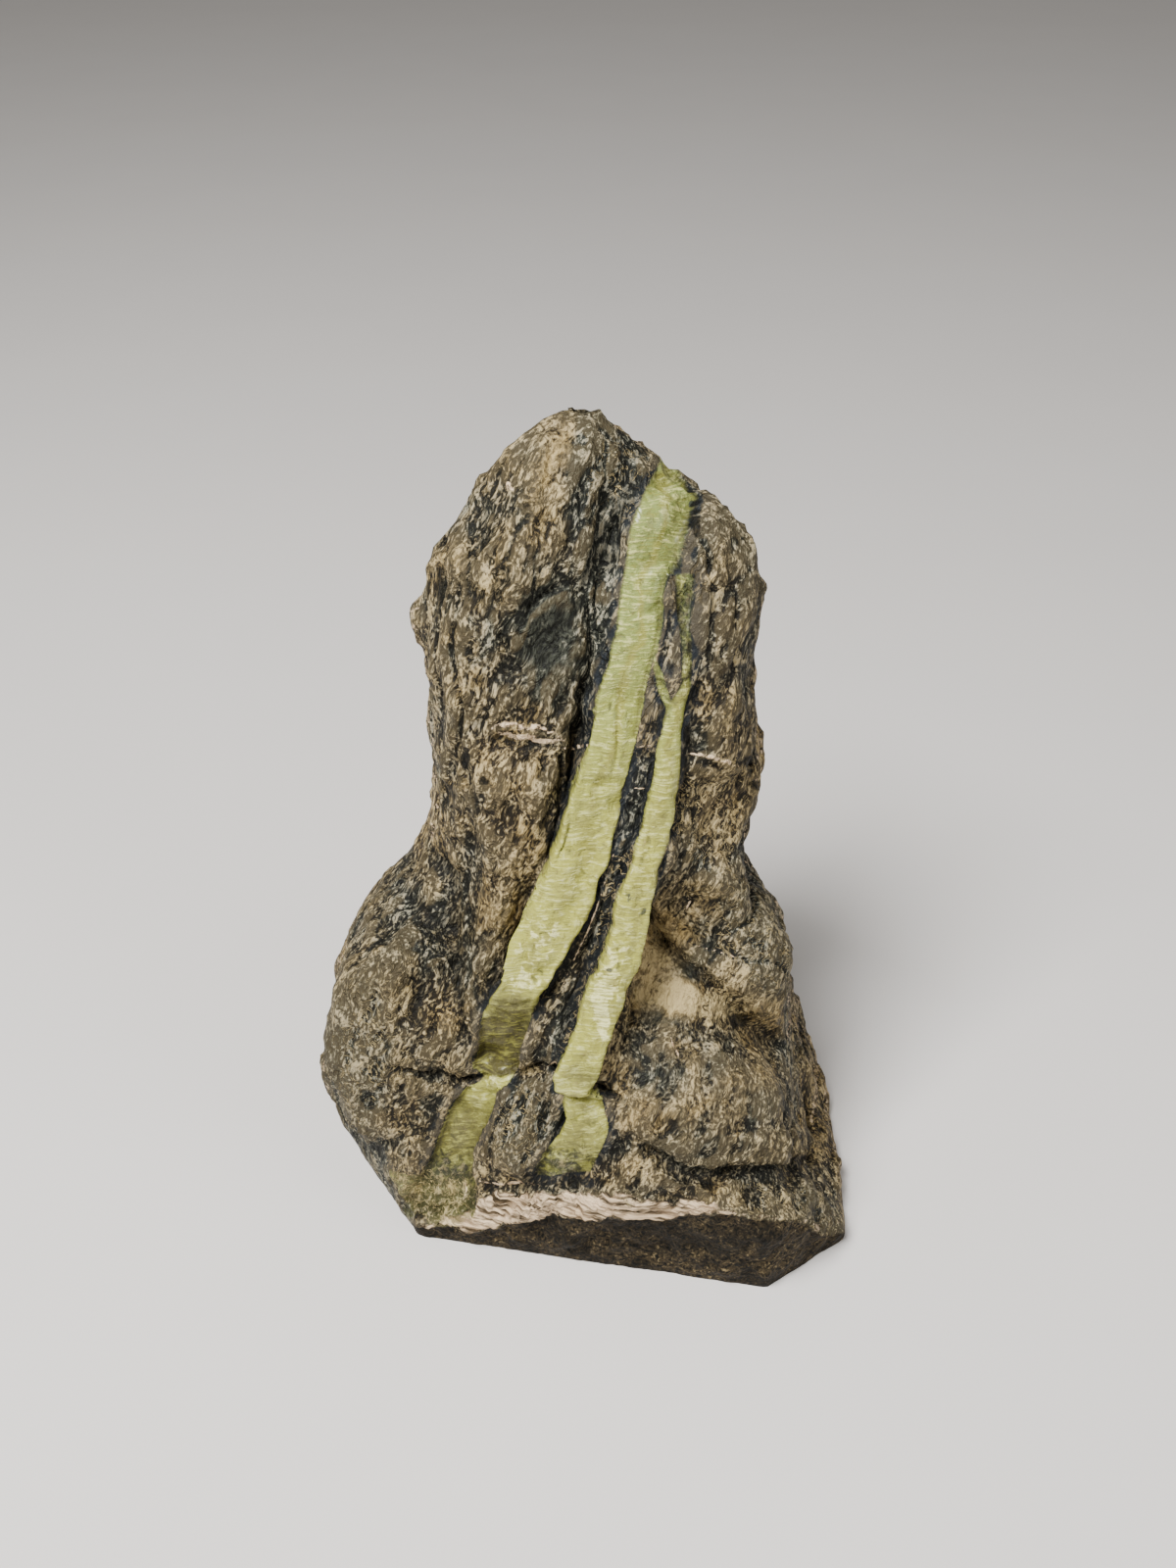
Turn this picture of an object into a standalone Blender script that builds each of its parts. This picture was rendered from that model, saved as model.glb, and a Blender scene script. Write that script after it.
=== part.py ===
"""Raw serpentine: one hand-sized piece of dark serpentinite with two pale green veins, standing on its flat underside.

The stone is lofted from level sections, broken by flat fracture planes, and then given its relief.
The relief of the front is drawn as the stone is seen from one eye point: its places are pixels of that
1200 x 1600 drawing, and its heights are millimetres. +Z is up, the front faces -Y, the underside is at z = 0.
"""

import itertools
import math

import bmesh
import bpy
import numpy as np
from mathutils import Vector

MM = 0.001

# The stone's level sections, bottom to top: height, left side, right side, front and back in millimetres,
# and how square the section is, from 2, an oval, upwards.
SECTIONS = (
    (0.0, -45.0, 44.0, -50.0, 26.0, 3.4),
    (6.0, -47.0, 42.5, -50.0, 28.5, 3.4),
    (14.0, -45.5, 38.5, -48.0, 30.0, 3.4),
    (24.0, -42.5, 35.0, -44.0, 29.5, 3.2),
    (30.0, -42.0, 33.5, -39.5, 28.5, 3.0),
    (35.0, -42.0, 32.5, -36.5, 27.5, 2.8),
    (44.0, -39.2, 30.5, -32.0, 25.5, 2.6),
    (52.0, -35.0, 27.5, -28.5, 23.5, 2.5),
    (58.0, -28.0, 25.0, -26.5, 22.5, 2.5),
    (66.0, -24.5, 25.0, -25.0, 21.0, 2.5),
    (76.0, -23.5, 26.0, -23.0, 19.5, 2.5),
    (90.0, -24.0, 24.8, -19.5, 17.5, 2.5),
    (100.0, -24.3, 24.0, -17.5, 16.0, 2.6),
    (108.0, -24.0, 24.2, -15.5, 14.5, 2.7),
    (115.0, -22.2, 23.2, -13.5, 13.0, 2.7),
    (121.0, -18.0, 17.5, -11.5, 11.0, 2.5),
    (126.0, -12.0, 10.0, -9.0, 8.0, 2.3),
    (131.0, -6.5, 2.0, -6.5, 4.5, 2.2),
    (133.2, -4.0, -0.5, -3.5, 2.0, 2.0),
)
PEAK = (-2.5, -0.5, 134.0)

# Fracture planes that the sections are broken by: outward direction, and a point on the plane in millimetres.
FRACTURES = (
    ((-0.18, -0.97, -0.16), (29.0, -40.0, 0.0)),
    ((0.58, -0.80, -0.08), (29.0, -40.0, 0.0)),
    ((-0.83, -0.53, -0.16), (-44.0, -5.0, 0.0)),
    ((-0.35, -0.92, 0.17), (-26.0, -30.6, 5.0)),
    ((0.15, 0.96, 0.22), (0.0, 22.0, 60.0)),
    ((-0.62, 0.75, 0.24), (-28.0, 17.0, 34.0)),
    ((0.72, 0.66, 0.22), (29.0, 14.0, 42.0)),
    ((0.05, 0.90, -0.42), (0.0, 29.5, 9.0)),
    ((-0.30, 0.80, 0.52), (-6.0, 12.0, 112.0)),
)
FRACTURE_ROUNDING = 0.8

# Bosses and hollows that show all round the stone: place, rise and radius in millimetres.
BOSSES = (
    ((-26.0, -1.0, 103.0), 2.4, 6.5),
    ((27.0, 0.0, 78.0), 2.6, 7.0),
    ((-46.0, 2.0, 18.0), 1.2, 16.0),
    ((31.0, -4.0, 44.0), 1.2, 14.0),
    ((27.0, 0.0, 59.0), -1.6, 9.0),
    ((40.0, -12.0, 12.0), -1.6, 6.0),
    ((14.0, 24.0, 48.0), 3.0, 18.0),
    ((-14.0, 22.0, 28.0), -3.4, 17.0),
    ((-8.0, 17.0, 84.0), 2.4, 17.0),
    ((8.0, 16.0, 104.0), -2.0, 12.0),
    ((-30.0, 14.0, 50.0), -2.4, 13.0),
    ((34.0, 16.0, 22.0), 2.4, 14.0),
    ((-2.0, 24.0, 62.0), -2.2, 9.0),
)

# The eye point that the front is drawn from, in millimetres, and its drawing.
EYE = (0.0, -207.0, 217.0)
EYE_PITCH = math.radians(35.0)
DRAWING_FOCUS = 1640.0
DRAWING_CENTRE = (600.0, 800.0)

# Pillows (+) and hollows (-) of the front: x, y, rise in millimetres, half width, half height, turn in degrees.
PILLOWS = (
    (540, 540, 2.8, 48, 140, 10),
    (480, 650, 1.6, 36, 120, 4),
    (500, 800, 2.0, 55, 110, 0),
    (735, 600, 1.8, 45, 140, -4),
    (740, 740, 1.4, 40, 60, 0),
    (385, 1060, 4.2, 72, 150, 8),
    (455, 950, -3.4, 36, 140, 12),
    (520, 980, -2.0, 55, 110, 24),
    (680, 975, -5.6, 56, 120, 22),
    (690, 1060, -1.6, 60, 80, 20),
    (775, 960, 5.0, 60, 100, -20),
    (725, 1120, 3.0, 110, 84, 0),
    (820, 1140, -2.4, 30, 60, -10),
    (720, 840, -2.2, 44, 60, 10),
    (530, 1165, 2.6, 36, 56, 10),
    (580, 1150, -2.2, 20, 60, 20),
)

# Grooves and cracks of the front: depth in millimetres, half width in pixels, and the line that they follow.
GROOVES = (
    (3.6, 40, ((650, 440), (628, 540), (610, 620), (598, 700), (584, 780), (572, 860), (548, 940), (492, 1060))),
    (1.8, 12, ((602, 680), (588, 760), (578, 850), (560, 900), (528, 965), (506, 1010))),
    (2.0, 14, ((438, 810), (444, 880), (448, 960), (470, 1050), (484, 1110))),
    (1.6, 12, ((420, 1084), (465, 1108), (520, 1106), (562, 1096), (602, 1114), (640, 1106))),
    (1.1, 10, ((530, 650), (538, 620), (556, 606), (590, 598))),
    (0.9, 12, ((494, 744), (530, 760), (584, 764))),
    (1.6, 12, ((708, 690), (702, 800), (690, 880), (664, 940))),
)

# Ledges of the front: drop in millimetres, reach of the drop in pixels, and the line, which is walked
# so that the lower ground lies on its right hand.
LEDGES = (
    (3.0, 44, ((640, 1150), (668, 1172), (706, 1192), (770, 1190), (820, 1182), (868, 1150))),
    (3.4, 60, ((650, 910), (676, 940), (730, 998), (790, 1054), (860, 1100))),
    (1.6, 40, ((590, 1106), (548, 1104), (520, 1112))),
)

# The two veins: row, left edge, right edge and level above the ground in millimetres.
MAIN_VEIN = (
    (470, 672, 690, -0.6),
    (500, 665, 708, -0.8),
    (536, 649, 706, -1.0),
    (580, 641, 695, -1.0),
    (614, 634, 677, -1.0),
    (664, 623, 672, -0.8),
    (721, 608, 658, -0.4),
    (764, 599, 647, 0.2),
    (807, 583, 634, 0.8),
    (854, 568, 625, 1.2),
    (893, 549, 611, 1.6),
    (936, 531, 597, 2.2),
    (979, 518, 575, 3.2),
    (1004, 512, 560, 3.6),
    (1010, 507, 553, 2.8),
    (1040, 490, 542, -0.8),
    (1062, 484, 534, -2.0),
    (1094, 479, 525, -3.6),
    (1100, 480, 521, -1.4),
    (1116, 463, 506, -1.8),
    (1157, 447, 490, -1.2),
    (1193, 438, 477, -1.2),
    (1243, 424, 470, -1.0),
)
RIGHT_VEIN = (
    (575, 690, 704, -0.6),
    (643, 693, 704, -0.6),
    (700, 692, 706, -0.4),
    (743, 675, 696, 0.0),
    (786, 666, 693, 0.6),
    (829, 657, 688, 1.4),
    (864, 647, 677, 1.8),
    (914, 627, 663, 2.4),
    (957, 616, 656, 3.2),
    (1000, 597, 638, 3.6),
    (1043, 586, 624, 4.0),
    (1086, 571, 612, 3.6),
    (1108, 570, 604, 3.0),
    (1114, 575, 615, -0.4),
    (1143, 576, 619, 0.0),
    (1171, 557, 615, 0.0),
    (1200, 548, 600, -0.4),
)
VEIN_EDGE = 9.0
VEIN_END_SLANT = 0.35
LEDGE_EDGE = 6.0
# The drawing's lines wander by this many pixels, in waves of this many millimetres, and the veins by less.
WANDER = 7.0
VEIN_WANDER = 1.5
WANDER_SIZE = 9.0

# The calcite seam that edges the lower fracture: a ridge along this line of the drawing.
SEAM = ((436, 1238), (500, 1226), (600, 1222), (680, 1220), (760, 1226), (856, 1244))
SEAM_RISE = 1.3
SEAM_HALF_WIDTH = 12.0

# Grain of the surface: size and rise in millimetres of each octave. A positive rise gives sharp crests and a
# negative one sharp creases, where the noise is zero.
GRAIN = ((21.0, 2.0), (9.0, -1.5), (4.6, -0.9))
CREST_LEVEL = 0.22
# The rock splits along this direction, which the veins and the streaks follow, drawn out by this much.
FOLIATION = (0.36, 0.24, 1.0)
STREAK_STRETCH = 2.6
GRAIN_SEED = 11

COLUMNS = 78
ROWS = 60
FRONT_SHARE = 0.62
UNDERSIDE_FADE = 5.0
COLOUR = (0.115, 0.115, 0.095, 1.0)

GRADIENTS = np.array(
    [g for g in itertools.product((-1.0, 0.0, 1.0), repeat=3) if sum(map(abs, g)) == 2.0]
)


def smooth_step(low, high, value):
    """0 below low, 1 above high, and an S-curve between them."""
    share = np.clip((value - low) / (high - low), 0.0, 1.0)
    return share * share * (3.0 - 2.0 * share)


def gradient_noise(points, seed):
    """Perlin noise: at each corner of a point's unit cell a fixed slope, blended by the point's place in it."""
    table = np.random.default_rng(seed).permutation(256)
    cell = np.floor(points).astype(int)
    place = points - cell
    ease = place**3 * (place * (place * 6.0 - 15.0) + 10.0)
    total = np.zeros(points.shape[:-1])
    for corner in itertools.product((0, 1), repeat=3):
        at = (cell + corner) & 255
        code = table[(table[(table[at[..., 0]] + at[..., 1]) & 255] + at[..., 2]) & 255]
        slope = (GRADIENTS[code % len(GRADIENTS)] * (place - corner)).sum(-1)
        total += slope * np.where(corner, ease, 1.0 - ease).prod(-1)
    return total


def azimuths(count):
    """Angles round the stone from the back, closer together over the front."""
    turn = np.arange(count) / count
    squeeze = FRONT_SHARE - 0.5
    return math.tau * (turn + squeeze * np.sin(math.tau * turn) / math.pi) + math.pi / 2


def lofted(heights, angles):
    """Points of the loft: at each height a squarish oval through the section's left, right, front and back."""
    table = np.array(SECTIONS)
    left, right, front, back, square = (np.interp(heights, table[:, 0], column) for column in table[:, 1:].T)
    middle = np.stack([(left + right) / 2, (front + back) / 2, heights], -1)[:, None, :]
    across, deep = np.cos(angles), np.sin(angles)
    half_width = ((right - left) / 2)[:, None]
    half_depth = ((back - front) / 2)[:, None]
    power = square[:, None]
    reach = ((np.abs(across) / half_width) ** power + (np.abs(deep) / half_depth) ** power) ** (-1.0 / power)
    for direction, point in FRACTURES:
        reach = broken(reach, middle, across, deep, np.array(direction), np.array(point))
    outward = np.stack([across, deep, np.zeros_like(across)], -1)
    return middle + reach[..., None] * outward


def broken(reach, middle, across, deep, direction, point):
    """The reach from the axis, cut short where the ray from the axis meets a fracture plane, with a rounded edge."""
    gap = ((point - middle) * direction).sum(-1)
    approach = across * direction[0] + deep * direction[1]
    meets = np.where(approach > 0.05, gap / np.maximum(approach, 0.05), 1e3)
    blend = np.clip(0.5 + (meets - reach) / (2 * FRACTURE_ROUNDING), 0.0, 1.0)
    cut = meets + (reach - meets) * blend - FRACTURE_ROUNDING * blend * (1.0 - blend)
    return np.maximum(cut, 1.0)


def outward_normals(grid):
    """Unit normals of the grid, from the steps to the next column and to the next row."""
    along = np.roll(grid, -1, 1) - np.roll(grid, 1, 1)
    up = np.gradient(grid, axis=0)
    normal = np.cross(along, up)
    return normal / np.maximum(np.linalg.norm(normal, axis=-1, keepdims=True), 1e-9)


def drawn(points):
    """Where points fall on the front drawing: x, y in its pixels, by central projection to the eye."""
    away = points - np.array(EYE)
    cos, sin = math.cos(EYE_PITCH), math.sin(EYE_PITCH)
    depth = away[..., 1] * cos - away[..., 2] * sin
    rise = away[..., 1] * sin + away[..., 2] * cos
    x = DRAWING_CENTRE[0] + DRAWING_FOCUS * away[..., 0] / depth
    y = DRAWING_CENTRE[1] - DRAWING_FOCUS * rise / depth
    return x, y


def from_line(x, y, line):
    """Distance to a line of points, the side of it, positive on its right hand as it is walked, and its fade.

    The fade is 1 along the line and falls to 0 over the first and the last leg."""
    best = np.full(x.shape, 1e9)
    side = np.zeros(x.shape)
    fade = np.zeros(x.shape)
    legs = len(line) - 1
    for leg, ((ax, ay), (bx, by)) in enumerate(itertools.pairwise(line)):
        dx, dy = bx - ax, by - ay
        share = np.clip(((x - ax) * dx + (y - ay) * dy) / (dx * dx + dy * dy), 0.0, 1.0)
        away = np.hypot(x - ax - share * dx, y - ay - share * dy)
        nearer = away < best
        side = np.where(nearer, np.sign(dx * (y - ay) - dy * (x - ax)), side)
        fade = np.where(nearer, np.clip(np.minimum(leg + share, legs - leg - share), 0.0, 1.0), fade)
        best = np.where(nearer, away, best)
    return best, side, fade


def pillows(x, y):
    """Sum of oval mounds, each highest at its centre and level with the ground at its rim."""
    total = np.zeros(x.shape)
    for centre_x, centre_y, rise, half_width, half_height, turn in PILLOWS:
        cos, sin = math.cos(math.radians(turn)), math.sin(math.radians(turn))
        dx, dy = x - centre_x, y - centre_y
        out = ((dx * cos + dy * sin) / half_width) ** 2 + ((dy * cos - dx * sin) / half_height) ** 2
        total += rise * np.clip(1.0 - out, 0.0, 1.0) ** 1.5
    return total


def grooves(x, y):
    """Sum of V-shaped valleys along their lines, running out at both ends."""
    total = np.zeros(x.shape)
    for depth, half_width, line in GROOVES:
        away, _, fade = from_line(x, y, line)
        total -= depth * fade * np.clip(1.0 - away / half_width, 0.0, 1.0) ** 1.4
    return total


def ledges(x, y):
    """Sum of drops that start sharply at a line, on its right hand, and ease out over their reach."""
    total = np.zeros(x.shape)
    for drop, reach, line in LEDGES:
        away, side, fade = from_line(x, y, line)
        fallen = smooth_step(-LEDGE_EDGE, LEDGE_EDGE, away * side)
        total -= drop * fade * fallen * (1.0 - smooth_step(0.0, reach, away))
    return total


def vein_at(x, y, vein):
    """How far a place is in a vein, from 0 to 1, and the vein's level there. The vein's breaks run aslant."""
    rows, left, right, level = np.array(vein).T
    inside = np.minimum(x - np.interp(y, rows, left), np.interp(y, rows, right) - x)
    inside = np.minimum(inside, np.minimum(y - rows[0], rows[-1] - y))
    middle = np.interp(y, rows, (left + right) / 2)
    aslant = y - VEIN_END_SLANT * (x - middle)
    return smooth_step(-VEIN_EDGE / 2, VEIN_EDGE / 2, inside), np.interp(aslant, rows, level)


def front_relief(points):
    """Relief of the front in millimetres: the matrix's mounds, valleys and drops, and the veins' own levels."""
    x, y = wandered(points, WANDER)
    relief = pillows(x, y) + grooves(x, y) + ledges(x, y)
    vein_x, vein_y = wandered(points, VEIN_WANDER)
    for vein in (MAIN_VEIN, RIGHT_VEIN):
        inside, level = vein_at(vein_x, vein_y, vein)
        relief += inside * (level - relief)
    away, _, fade = from_line(x, y, SEAM)
    return relief + SEAM_RISE * fade * np.clip(1.0 - away / SEAM_HALF_WIDTH, 0.0, 1.0)


def bosses(points):
    """Sum of round swellings and dents placed in space, each fading out at its radius."""
    total = np.zeros(points.shape[:-1])
    for place, rise, radius in BOSSES:
        out = (((points - np.array(place)) / radius) ** 2).sum(-1)
        total += rise * np.clip(1.0 - out, 0.0, 1.0) ** 2
    return total


def grain(points):
    """Sum of noise octaves with sharp crests or creases, drawn out along the stone's foliation."""
    upright = np.array(Vector(FOLIATION).rotation_difference(Vector((0.0, 0.0, 1.0))).to_matrix())
    stretched = points @ upright.T / np.array([1.0, 1.0, STREAK_STRETCH])
    total = np.zeros(points.shape[:-1])
    for octave, (size, rise) in enumerate(GRAIN):
        total += rise * (CREST_LEVEL - np.abs(gradient_noise(stretched / size + 40.0, GRAIN_SEED + octave)))
    return total


def wandered(points, pixels):
    """Places on the front drawing, each shifted by noise so that straight lines come out irregular."""
    x, y = drawn(points)
    shift_x = gradient_noise(points / WANDER_SIZE + 10.0, GRAIN_SEED)
    shift_y = gradient_noise(points / WANDER_SIZE + 90.0, GRAIN_SEED)
    return x + pixels * shift_x, y + pixels * shift_y


def stone_surface(columns, rows):
    """The stone's skin as a grid of points, in millimetres: rows from the underside to just below the peak."""
    heights = np.linspace(0.0, SECTIONS[-1][0], rows)
    grid = lofted(heights, azimuths(columns))
    normals = outward_normals(grid)
    to_eye = np.array(EYE) - grid
    to_eye /= np.linalg.norm(to_eye, axis=-1, keepdims=True)
    facing = smooth_step(0.05, 0.45, (normals * to_eye).sum(-1))
    relief = facing * front_relief(grid) + bosses(grid) + grain(grid)
    settled = smooth_step(0.0, UNDERSIDE_FADE, grid[..., 2])
    grid = grid + (relief * settled)[..., None] * normals
    grid[..., 2] = np.maximum(grid[..., 2], 0.0)
    return grid


def clear_scene():
    for obj in list(bpy.data.objects):
        bpy.data.objects.remove(obj)


def stone_material():
    material = bpy.data.materials.new("serpentinite")
    material.use_nodes = True
    shader = material.node_tree.nodes["Principled BSDF"]
    shader.inputs["Base Color"].default_value = COLOUR
    shader.inputs["Roughness"].default_value = 0.7
    shader.inputs["Metallic"].default_value = 0.0
    return material


def stone():
    """The stone as one closed mesh: the skin's quads, a fan up to the peak, and one flat underside."""
    grid = stone_surface(COLUMNS, ROWS) * MM
    shape = bmesh.new()
    rings = [[shape.verts.new(point) for point in row] for row in grid]
    for lower, upper in itertools.pairwise(rings):
        for k in range(COLUMNS):
            after = (k + 1) % COLUMNS
            shape.faces.new((lower[k], lower[after], upper[after], upper[k]))
    peak = shape.verts.new([value * MM for value in PEAK])
    for k in range(COLUMNS):
        shape.faces.new((rings[-1][k], rings[-1][(k + 1) % COLUMNS], peak))
    shape.faces.new(reversed(rings[0]))
    bmesh.ops.triangulate(shape, faces=shape.faces)
    bmesh.ops.recalc_face_normals(shape, faces=shape.faces)
    mesh = bpy.data.meshes.new("stone")
    shape.to_mesh(mesh)
    shape.free()
    mesh.materials.append(stone_material())
    mesh.shade_smooth()
    mesh.set_sharp_from_angle(angle=math.radians(40.0))
    obj = bpy.data.objects.new("stone", mesh)
    bpy.context.scene.collection.objects.link(obj)
    return obj


def main():
    clear_scene()
    stone()


main()
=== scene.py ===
"""Raw serpentine stone: its rough skin with pale green veins, on a plain pale floor under soft studio light.

The skin is lofted from level sections, broken by flat fracture planes and then given its relief. The relief
of the front is drawn as the stone is seen from one eye point: places on it are pixels of that 1200 x 1600
drawing, and heights are millimetres. +Z is up, the front faces -Y and the underside is at z = 0.
"""

import itertools
import math

import bpy
import numpy as np
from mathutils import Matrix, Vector


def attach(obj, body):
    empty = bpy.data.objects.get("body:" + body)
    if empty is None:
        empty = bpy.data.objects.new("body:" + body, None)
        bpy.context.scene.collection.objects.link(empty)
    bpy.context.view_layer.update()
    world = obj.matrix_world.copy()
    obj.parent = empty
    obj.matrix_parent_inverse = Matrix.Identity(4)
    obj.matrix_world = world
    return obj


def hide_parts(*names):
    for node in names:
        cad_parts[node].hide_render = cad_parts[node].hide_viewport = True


bl_info = {
    "name": "Raw serpentine stone",
    "version": (1, 0, 0),
    "blender": (4, 5, 0),
    "location": "View3D > Sidebar > Stone",
    "description": "A rough serpentine stone with green veins, its stage and its camera",
    "category": "Add Mesh",
}

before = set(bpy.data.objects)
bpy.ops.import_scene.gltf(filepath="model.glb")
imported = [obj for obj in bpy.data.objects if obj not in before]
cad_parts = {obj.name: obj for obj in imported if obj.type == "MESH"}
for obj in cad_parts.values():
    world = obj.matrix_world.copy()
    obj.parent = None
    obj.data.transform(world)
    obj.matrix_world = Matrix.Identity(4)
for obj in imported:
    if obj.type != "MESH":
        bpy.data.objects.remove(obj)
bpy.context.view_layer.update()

MM = 0.001

# The stone's level sections, bottom to top: height, left side, right side, front and back in millimetres,
# and how square the section is, from 2, an oval, upwards.
SECTIONS = (
    (0.0, -45.0, 44.0, -50.0, 26.0, 3.4),
    (6.0, -47.0, 42.5, -50.0, 28.5, 3.4),
    (14.0, -45.5, 38.5, -48.0, 30.0, 3.4),
    (24.0, -42.5, 35.0, -44.0, 29.5, 3.2),
    (30.0, -42.0, 33.5, -39.5, 28.5, 3.0),
    (35.0, -42.0, 32.5, -36.5, 27.5, 2.8),
    (44.0, -39.2, 30.5, -32.0, 25.5, 2.6),
    (52.0, -35.0, 27.5, -28.5, 23.5, 2.5),
    (58.0, -28.0, 25.0, -26.5, 22.5, 2.5),
    (66.0, -24.5, 25.0, -25.0, 21.0, 2.5),
    (76.0, -23.5, 26.0, -23.0, 19.5, 2.5),
    (90.0, -24.0, 24.8, -19.5, 17.5, 2.5),
    (100.0, -24.3, 24.0, -17.5, 16.0, 2.6),
    (108.0, -24.0, 24.2, -15.5, 14.5, 2.7),
    (115.0, -22.2, 23.2, -13.5, 13.0, 2.7),
    (121.0, -18.0, 17.5, -11.5, 11.0, 2.5),
    (126.0, -12.0, 10.0, -9.0, 8.0, 2.3),
    (131.0, -7.2, 4.2, -6.5, 4.5, 2.2),
    (133.2, -4.6, 1.6, -3.5, 2.0, 2.0),
    (133.8, -3.6, -0.2, -1.4, 0.4, 2.0),
)
PEAK = (-2.5, -0.5, 134.0)

# Fracture planes that the sections are broken by: outward direction, and a point on the plane in millimetres.
FRACTURES = (
    ((-0.18, -0.97, -0.16), (29.0, -40.0, 0.0)),
    ((0.58, -0.80, -0.08), (29.0, -40.0, 0.0)),
    ((-0.83, -0.53, -0.16), (-44.0, -5.0, 0.0)),
    ((-0.35, -0.92, 0.17), (-26.0, -30.6, 5.0)),
    ((0.15, 0.96, 0.22), (0.0, 22.0, 60.0)),
    ((-0.62, 0.75, 0.24), (-28.0, 17.0, 34.0)),
    ((0.72, 0.66, 0.22), (29.0, 14.0, 42.0)),
    ((0.05, 0.90, -0.42), (0.0, 29.5, 9.0)),
    ((-0.30, 0.80, 0.52), (-6.0, 12.0, 112.0)),
)
FRACTURE_ROUNDING = 0.8

# Bosses and hollows that show all round the stone: place, rise and radius in millimetres.
BOSSES = (
    ((-26.0, -1.0, 103.0), 2.4, 6.5),
    ((27.0, 0.0, 78.0), 2.6, 7.0),
    ((-46.0, 2.0, 18.0), 1.2, 16.0),
    ((31.0, -4.0, 44.0), 1.2, 14.0),
    ((27.0, 0.0, 59.0), -1.6, 9.0),
    ((40.0, -12.0, 12.0), -1.6, 6.0),
    ((14.0, 24.0, 48.0), 3.0, 18.0),
    ((-14.0, 22.0, 28.0), -3.4, 17.0),
    ((-8.0, 17.0, 84.0), 2.4, 17.0),
    ((8.0, 16.0, 104.0), -2.0, 12.0),
    ((-30.0, 14.0, 50.0), -2.4, 13.0),
    ((34.0, 16.0, 22.0), 2.4, 14.0),
    ((-2.0, 24.0, 62.0), -2.2, 9.0),
)

# The eye point that the front is drawn from, in millimetres, and its drawing.
EYE = (0.0, -207.0, 217.0)
EYE_PITCH = math.radians(35.0)
DRAWING_HEIGHT = 1600.0
DRAWING_FOCUS = 1640.0
DRAWING_CENTRE = (600.0, 800.0)
PIXELS_PER_MM = 6.0

# Pillows (+) and hollows (-) of the front: x, y, rise in millimetres, half width, half height and turn in
# degrees.
PILLOWS = (
    (540, 540, 2.8, 48, 140, 10),
    (480, 650, 1.6, 36, 120, 4),
    (500, 800, 2.0, 55, 110, 0),
    (735, 600, 1.8, 45, 140, -4),
    (740, 740, 1.4, 40, 60, 0),
    (385, 1060, 4.2, 72, 150, 8),
    (455, 950, -3.4, 36, 140, 12),
    (520, 980, -2.0, 55, 110, 24),
    (680, 975, -5.6, 56, 120, 22),
    (690, 1060, -1.6, 60, 80, 20),
    (775, 960, 5.0, 60, 100, -20),
    (725, 1120, 3.0, 110, 84, 0),
    (820, 1140, -2.4, 30, 60, -10),
    (720, 840, -2.2, 44, 60, 10),
    (530, 1165, 2.6, 36, 56, 10),
    (580, 1150, -2.2, 20, 60, 20),
)
# Small ones, which only the skin shows.
SMALL_PILLOWS = (
    (560, 655, -1.0, 28, 52, 4),
    (537, 517, 0.5, 8, 6, 0),
    (590, 470, 0.9, 18, 40, 20),
    (470, 560, 0.8, 14, 40, 14),
    (455, 700, -0.7, 10, 60, 2),
    (545, 800, 0.9, 26, 40, 0),
    (505, 870, 0.8, 28, 36, 10),
    (765, 775, -1.2, 7, 6, 0),
    (770, 800, -1.4, 9, 7, 20),
    (735, 790, 0.8, 30, 14, 10),
    (725, 905, 0.9, 20, 26, 10),
    (708, 1014, 2.0, 48, 34, 25),
    (692, 948, -0.3, 30, 26, 30),
    (650, 1150, 0.8, 26, 26, 0),
    (690, 1165, 1.0, 30, 18, -5),
    (770, 1165, 1.3, 46, 18, -4),
    (530, 1130, -0.8, 26, 30, 10),
    (524, 1176, 0.7, 22, 20, 0),
    (420, 1150, 1.0, 30, 26, 20),
    (370, 1010, 0.9, 24, 40, 16),
    (415, 960, 0.8, 16, 44, 16),
    (612, 560, -0.9, 12, 60, 14),
    (520, 720, 0.7, 24, 30, 0),
    (832, 1120, 1.2, 12, 40, -8),
)

# Grooves and cracks of the front: depth in millimetres, half width in pixels, and the line that they follow.
GROOVES = (
    (
        3.6,
        40,
        ((650, 440), (628, 540), (610, 620), (598, 700), (584, 780), (572, 860), (548, 940), (492, 1060)),
    ),
    (1.8, 12, ((602, 680), (588, 760), (578, 850), (560, 900), (528, 965), (506, 1010))),
    (2.0, 14, ((438, 810), (444, 880), (448, 960), (470, 1050), (484, 1110))),
    (1.6, 12, ((420, 1084), (465, 1108), (520, 1106), (562, 1096), (602, 1114), (640, 1106))),
    (1.1, 10, ((530, 650), (538, 620), (556, 606), (590, 598))),
    (0.9, 12, ((494, 744), (530, 760), (584, 764))),
    (1.6, 12, ((708, 690), (702, 800), (690, 880), (664, 940))),
)
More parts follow.
